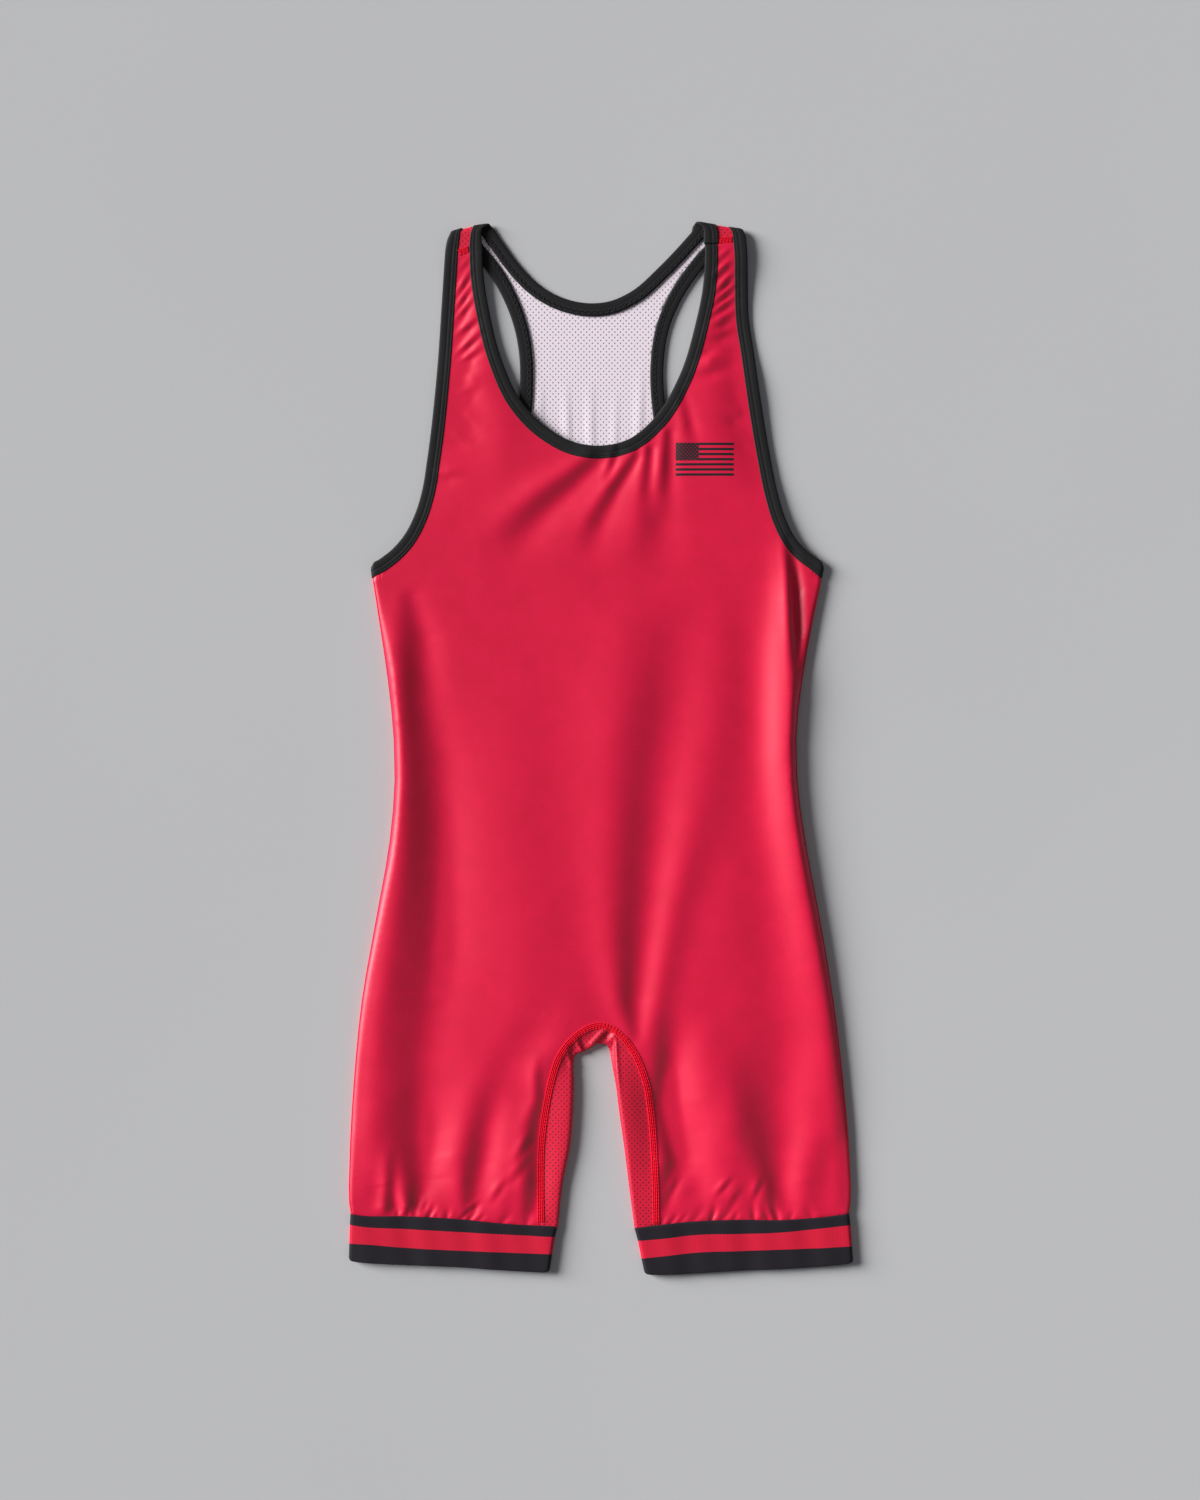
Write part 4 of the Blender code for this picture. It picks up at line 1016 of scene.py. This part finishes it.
def over_shoulder(flat):
    """The points of the opened back as they lie: flat, or carried over the shoulder folds on to the front."""
    lying = np.column_stack([flat, back_height(flat)])
    for side, sign in (("right", -1), ("left", 1)):
        arm_end, _, _, facing = shoulder_line(side)
        beyond = (flat - arm_end) @ facing + FOLD_RADIUS
        over = (beyond > 1e-6) & (flat[:, 0] * sign > 0)
        turn = math.pi - np.minimum(beyond[over] / FOLD_RADIUS, math.pi)
        along = np.maximum(beyond[over] - math.pi * FOLD_RADIUS, 0)
        lying[over, :2] = flat[over] + facing * (FOLD_RADIUS * np.sin(turn) - beyond[over] - along)[:, None]
        lying[over, 2] = FOLD_RADIUS + FOLD_RADIUS * np.cos(turn)
    return lying


def in_the_neck(points):
    """Where the back shows inside the neckline, and where it goes over the shoulders."""
    across, up = points.T
    return (up > 400) | ((up > 220) & (up < 310) & (np.abs(across) < 60))


def make_back(outer, inner):
    sections = [side_points(side, inset) for side in CUFFS for inset in BACK_INSETS]
    flat, faces = sheet(back_outline(), BACK_SPACING, in_the_neck, sections)
    faces = [face[::-1] for face in faces]
    made = new_piece("back_cloth", over_shoulder(flat), faces, [outer, inner])
    thicken(made, CLOTH, 1)
    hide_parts("back_panel")
    return made


# The gusset.


def gusset_lift(points):
    """The pleats at the crotch, and the fall from the left leg's ridge to the gusset's lower layer."""
    (across, up), flat = points[:, :2].T, points[:, :2]
    lift = sum(step_rise(flat, pleat) for pleat in GUSSET_PLEATS)
    _, left, _ = nearest_place(flat, smooth(RIDGE))
    ridge = np.clip((-up - 230) / 6, 0, 1) * np.clip((across - 2) / 4, 0, 1) * np.clip((300 + up) / 40, 0, 1)
    lift += ridge * (0.9 * np.exp(-((left / 1.6) ** 2)) - 2.6 * np.clip(-left / 2.2, 0, 1))
    return lift * np.clip((points[:, 2] - 1) / 4, 0, 1)


def gusset_front(table, shares):
    """The front of the gusset, at shares of the way from its seam to where it starts to turn under."""
    seam, fold, top = table[:, :2], table[:, 2:4], table[:, 4]
    facing = (fold - seam) / np.linalg.norm(fold - seam, axis=1)[:, None]
    inner = fold - facing * top[:, None] / 2
    low = front_height(seam)
    columns = []
    for share in shares:
        place = between(seam, inner, np.reshape(share, (-1, 1)))
        climb = 0.5 * np.sin(share * math.pi / 2) + 0.25 - 0.25 * np.cos(share * math.pi)
        points = np.column_stack([place, low + (top - low) * climb])
        points[:, 2] += gusset_lift(points) * np.clip(share * 3, 0, 1)
        columns.append(points)
    return np.stack(columns, axis=1), facing, inner


def make_gusset(look):
    """The gusset strip: its front, round its folded edge, and its back."""
    table = spaced(smooth(GUSSET, 4), 1.2)
    front, facing, inner = gusset_front(table, np.linspace(0, 1, 16))
    seam, fold, radius = table[:, :2], table[:, 2:4], table[:, 4] / 2
    turned = []
    for turn in np.linspace(0, math.pi, 11)[1:]:
        place = fold + facing * (radius * (math.sin(turn) - 1))[:, None]
        points = np.column_stack([place, radius + radius * math.cos(turn)])
        points[:, 2] += gusset_lift(points) * np.clip(points[:, 2] / (2 * radius), 0, 1)
        turned.append(points)
    under = [np.column_stack([between(inner, seam, share), 0 * radius]) for share in (0.34, 0.67, 1)]
    grid = np.concatenate([front, np.stack([*turned, *under], axis=1)], axis=1)
    grid[:, :, 2] = np.maximum(grid[:, :, 2], 0)
    made = new_piece("gusset_cloth", grid, grid_faces(*grid.shape[:2], -1), [look])
    thicken(made, CLOTH)
    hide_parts("gusset")
    return made


# Flat seams.


def flat_seam(name, surface, outward, looks, needle=0.42):
    """A flat seam on a strip of surface: its low cover of threads, the needle rows and the ladder over it."""
    surface = spaced(surface, 0.68)
    normals = grid_normals(surface, outward)
    rise = np.tile(BAND_RISE, (len(surface), 1))
    rise[::2, 1:-1] += 0.07
    cover = surface + normals * rise[..., None]
    strip = new_piece(name, cover, grid_faces(*cover.shape[:2], outward), [looks[0]])
    rows = along_columns(cover, normals, BAND_NEEDLES, 0.05)
    needles = threads(name + ".needles", rows, needle, looks[1])
    steps = [zigzag(cover, normals, BAND_NEEDLES[0], BAND_NEEDLES[-1], LADDER, 0.12)]
    ladder = threads(name + ".ladder", steps, 0.2, looks[1], False)
    return [strip, needles, ladder]


def make_gusset_seams(looks):
    table = smooth(GUSSET, 4)
    table = table[above_cuff(table[:, :2]) > 0]
    seam, aside = table[:, :2], left_normals(table)
    outer = [seam - aside * offset for offset in BAND[:5]]
    front = np.stack([np.column_stack([place, front_height(place)]) for place in outer], axis=1)
    width = np.linalg.norm(table[:, 2:4] - seam, axis=1) - table[:, 4] / 2
    inner, _, _ = gusset_front(table, [offset / width for offset in BAND[5:]])
    upper = np.concatenate([front, inner], axis=1)
    lower = np.stack([np.column_stack([seam - aside * o, np.full(len(seam), 0.2)]) for o in BAND], axis=1)
    return flat_seam("gusset_seam", upper, -1, looks) + flat_seam("gusset_seam_back", lower, 1, looks)


def arc_columns(profile, reaches):
    """The columns of a strip at distances measured along its sections, which run out from the seam."""
    found = [[np.interp(reaches, distances(section), line) for line in section.T] for section in profile]
    return np.array(found).transpose(0, 2, 1)


def make_side_seam(side, looks):
    """The flat seam along a side, wrapped round the rolled edge."""
    path = side_points(side)[1:-1]
    inward = 1 if side == "right" else -1

    def wrapped(height):
        places = [path + (inward * inset, 0) for inset in SEAM_INSETS]
        lines = [np.column_stack([place, height(place)]) for place in places]
        return arc_columns(np.stack(lines, axis=1), BAND[5:])

    seam = np.column_stack([path, np.full(len(path), SEAM_LEVEL)])[:, None]
    surface = np.concatenate([wrapped(back_height)[:, ::-1], seam, wrapped(front_height)], axis=1)
    return flat_seam("side_seam_" + side, surface, -inward, looks)


def make_shoulder_seam(side, looks):
    start, end = shoulder_ends(side)
    along, aside = direction(start, end)
    path = spaced([start + along * SEAM_END, end - along * SEAM_END], 0.7)
    lines = []
    for offset in BAND:
        place = path + aside * offset
        level = front_height(place) if offset < 0 else np.full(len(path), SHOULDER_HEIGHT)
        lines.append(np.column_stack([place, level]))
    return flat_seam("shoulder_seam_" + side, np.stack(lines, axis=1), 1, looks, 0.24)


# Bindings.


def tape_rows(path, cloth_side, on_front):
    """The sections of a binding whose middle follows a path, on the front or on the back."""
    across = left_normals(path) * cloth_side * BINDING_WIDTH / 2
    columns = []
    for share, rise in TAPE_FACE:
        row = between(path + across, path - across, share)
        height = front_height(row) + BINDING_PROUD + rise if on_front else np.full(len(row), -rise)
        columns.append(np.column_stack([row, np.maximum(height, 0)]))
    return np.stack(columns, axis=1)


def tape_over(name, steps=10):
    """The sections where a binding rolls over an edge, from its upper layer to its lower one."""
    upper, rim, lower = np.array(TAPE_FOLDS[name])
    _, facing = direction(*rim)
    facing *= np.sign((rim - upper).sum(axis=0) @ facing)
    radius = (SHOULDER_HEIGHT + BINDING_PROUD) / 2
    rows = []
    for turn in [math.pi * k / steps for k in range(steps + 1)]:
        layer = upper if turn < math.pi / 2 else lower
        for share, rise in TAPE_FACE:
            corner = 1 - math.sqrt(1 - max(share - CORNER_START, 0) ** 2 / (1 - CORNER_START) ** 2)
            edge = between(rim[1], rim[0], share) - facing * TAPE_CORNER * corner
            level = between(layer[1], layer[0], share)
            x, y = between(level, edge, math.sin(turn)) + facing * rise * math.sin(turn)
            rows.append((x, y, radius + (radius + rise) * math.cos(turn)))
    return np.array(rows).reshape(steps + 1, len(TAPE_FACE), 3)


def ring_rows(front, back, outward, fold_down, fold_up):
    """A binding's sections down its front, over a fold, up its back and over a fold, with bends between."""
    front, back = tape_rows(smooth(front, 4), -outward, True), tape_rows(smooth(back, 4), outward, False)
    parts = front, tape_over(fold_down), back, tape_over(fold_up)[::-1]
    shares = np.linspace(0, 1, 8)[1:-1, None, None]
    rows = []
    for part, following in zip(parts, [*parts[1:], front]):
        start, end = part[-1], following[0]
        reach = 0.7 * np.linalg.norm(end - start, axis=1)[:, None]
        ways = start - part[-2], following[1] - end
        leaving, arriving = (reach * way / np.linalg.norm(way, axis=1)[:, None] for way in ways)
        rows += [part, bend(start, end, leaving, arriving, shares)]
    return np.concatenate(rows)


def lap(grid):
    """Laps the end of the neck tape over its start, thicker and a little wider; the row of its cut end, which
    is painted dark as the shadow of the lap.
    """
    middle = grid[:, NEEDLE_COLUMNS[1]].copy()
    x, y, z = middle.T
    over = np.flatnonzero((y > NECK_JOIN) & (x > 0) & (z > LAP_LOWEST))
    last, first = over[0] - 1, over[0]
    around = grid[last - 1 : first + 2].copy()
    places = np.interp([NECK_JOIN - LAP_CUT, NECK_JOIN + LAP_CUT], y[last - 1 : first + 2], [0, 1, 2, 3])
    for row, place in zip((last, first), places):
        grid[row] = between(around[int(place)], around[int(place) + 1], place % 1)
    grid[last, :UPPER_COLUMNS, 2] -= LAP_RISE / 2
    grid[over, :UPPER_COLUMNS, 2] += LAP_RISE
    wider = LAP_WIDER * np.clip((NECK_JOIN + 9 - y[over]) / 4, 0, 1)[:, None, None]
    grid[over] += (grid[over] - middle[over][:, None]) * wider * np.array((1, 1, 0))
    return last


def make_binding(name, rows, outward, looks):
    """A ring of folded tape with its two needle rows outside and the looper's ladder inside."""
    grid = spaced(rows, 1.1, ring=True)
    shaded_cut_row = lap(grid) if name == "neck_binding" else -1
    faces = grid_faces(*grid.shape[:2], outward, ring_rows=True)
    made = new_piece(name + "_tape", grid, faces, [looks[0], looks[2]])
    columns = grid.shape[1] - 1
    # The upper layer's faces on the cut end's row take painted shade, the dark shadow line of the lap.
    for face in made.data.polygons:
        face.material_index = int(face.index // columns == shaded_cut_row and face.index % columns < UPPER_COLUMNS - 1)
    thicken(made, TAPE)
    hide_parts(name)
    fine = spaced(np.concatenate([grid, grid[:1]]), TAPE_STITCH / 4)
    normals = grid_normals(fine, outward)
    rows = along_columns(fine, normals, NEEDLE_COLUMNS, 0.12)
    needles = threads(name + ".needles", rows, 0.2, looks[1])
    under = along_columns(fine, normals, LOOPER_COLUMNS, 0.1)
    under.append(zigzag(fine, normals, *LOOPER_COLUMNS, 2.4, 0.3))
    looper = threads(name + ".looper", under, 0.3, looks[1], False)


# Cuffs.


def cuff_ring(first, last, y_of):
    """One section of a cuff: round its last end, along its back, round its first end and along its front."""
    radius = CUFF_HEIGHT / 2
    low, high = first + radius, last - radius
    turns = [math.pi * k / 12 for k in range(13)]
    flat = np.linspace(0, 1, 62)[1:-1]
    ring = [(high + radius * math.sin(turn), radius + radius * math.cos(turn)) for turn in turns]
    ring += [(high + (low - high) * share, 0.0) for share in flat]
    ring += [(low - radius * math.sin(turn), radius + radius * math.cos(turn)) for turn in turns[::-1]]
    ring += [(low + (high - low) * share, CUFF_HEIGHT) for share in flat]
    return [(x, y_of(x), z) for x, z in ring]


def make_cuff(side, looks):
    cuff = CUFFS[side]
    above, striped, below = CUFF_ROWS
    levels = np.concatenate([
        np.linspace(0, 1, above, endpoint=False),
        np.linspace(1, 2, striped, endpoint=False),
        2 + np.sin(np.linspace(0, math.pi / 2, below)),
    ])
    rows = []
    for level in levels:
        first, last = (between(top, bottom, level / 3)[0] for top, bottom in zip(cuff["top"], cuff["bottom"]))
        middle = (first + last) / 2
        left = abs(cuff_line(side, middle, 3) - cuff_line(side, middle, level))
        tuck = CUFF_CORNER - math.sqrt(max(CUFF_CORNER**2 - max(CUFF_CORNER - left, 0) ** 2, 0))
        rows.append(cuff_ring(first + tuck, last - tuck, lambda x: cuff_line(side, x, level)))
    grid = np.array(rows)
    x, y, z = grid[..., 0], grid[..., 1], grid[..., 2]
    wave = 0.22 * np.sin(x / 7.3 + 1.1) + 0.18 * np.sin(x / 3.9 + y / 21) + 0.15 * np.sin(x / 23.0)
    upper = np.clip((z - CUFF_HEIGHT / 2) / (CUFF_HEIGHT / 2), 0, 1)
    sunk = np.array([0.35, 0.08] + [0] * (len(levels) - 3) + [0.25])[:, None]
    grid[..., 2] += (wave - sunk) * upper
    faces = grid_faces(*grid.shape[:2], ring_columns=True)
    made = new_piece("cuff_band_" + side, grid, faces, looks)
    for face in made.data.polygons:
        face.material_index = int(above <= face.index // grid.shape[1] < above + striped)
    thicken(made, CUFF_CLOTH)
    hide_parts("cuff_" + side)


# The stage: a pale floor, soft light from the upper left and the camera straight above.


def make_light(name, kind, place, strength):
    """A light at a place in metres, looking at the middle of the garment."""
    light = bpy.data.lights.new(name, kind)
    light.energy = strength
    made = linked(name, light)
    made.location = place
    made.rotation_euler = (-Vector(place)).to_track_quat("-Z", "Y").to_euler()
    return light


def make_stage():
    mesh = bpy.data.meshes.new("floor")
    signs = (-1, -1), (1, -1), (1, 1), (-1, 1)
    corners = [(x * FLOOR_REACH, y * FLOOR_REACH, FLOOR_LEVEL) for x, y in signs]
    mesh.from_pydata(corners, [], [(0, 1, 2, 3)])
    look = Look("pale_floor", (0.50, 0.50, 0.51, 1), 0.9)
    look.colour(look.mix(look.noise(600), (0.49, 0.49, 0.50, 1), (0.52, 0.52, 0.53, 1)))
    mesh.materials.append(look.made)
    floor = linked("floor", mesh)

    key = make_light("key", "SUN", (-1.6, 0.56, 0.72), 6.5)
    key.angle = math.radians(31)  # as soft as a wide source near by, but as bright all over the floor
    fill = make_light("fill", "AREA", (1.6, -1.2, 1.6), 3)
    fill.shape = "DISK"
    fill.size = 1.4
    world = bpy.data.worlds.new("studio")
    world.use_nodes = True
    sky = world.node_tree.nodes["Background"].inputs
    sky["Color"].default_value = (0.9, 0.93, 1.0, 1)
    sky["Strength"].default_value = 0.13
    bpy.context.scene.world = world

    camera = bpy.data.cameras.new("camera")
    camera.lens = 72  # in millimetres, like the sensor
    camera.sensor_width = 36
    above = linked("camera", camera)
    above.location = (-0.0008, -0.0012, CAMERA_HEIGHT)
    bpy.context.scene.camera = above
    bpy.context.scene.view_settings.view_transform = "Standard"


def main():
    make_stage()
    red, mesh, pale = satin_red(), mesh_red(), mesh_inside()
    # The tape's third look is painted shade, for the lap at the neck tape's cut end.
    tape = tape_black(), thread("black_thread", srgb(24, 24, 26), srgb(46, 46, 49)), tape_lap_shade()
    cover = thread("seam_cover", srgb(172, 0, 30), srgb(214, 0, 42))
    seams = cover, thread("red_thread", srgb(240, 0, 40), srgb(255, 4, 52))
    charcoal = elastic("charcoal_elastic", srgb(17, 12, 20), srgb(30, 24, 34))
    cuffs = charcoal, elastic("red_elastic", srgb(196, 6, 44), srgb(220, 16, 58))

    front, back, gusset = make_front(red), make_back(mesh, pale), make_gusset(mesh)
    gusset_sewing = make_gusset_seams(seams)
    on_front = [piece for side in CUFFS for piece in make_side_seam(side, seams)]
    on_front += [piece for side in CUFFS for piece in make_shoulder_seam(side, seams)]

    make_binding("neck_binding", ring_rows(NECK_FRONT, NECK_BACK, 1, "left neck", "right neck"), 1, tape)
    for side, outward in (("right", -1), ("left", 1)):
        rows = ring_rows(ARM_FRONT[side], ARM_BACK[side], outward, side + " underarm", side + " arm")
        make_binding("armhole_binding_" + side, rows, outward, tape)
        make_cuff(side, cuffs)


main()
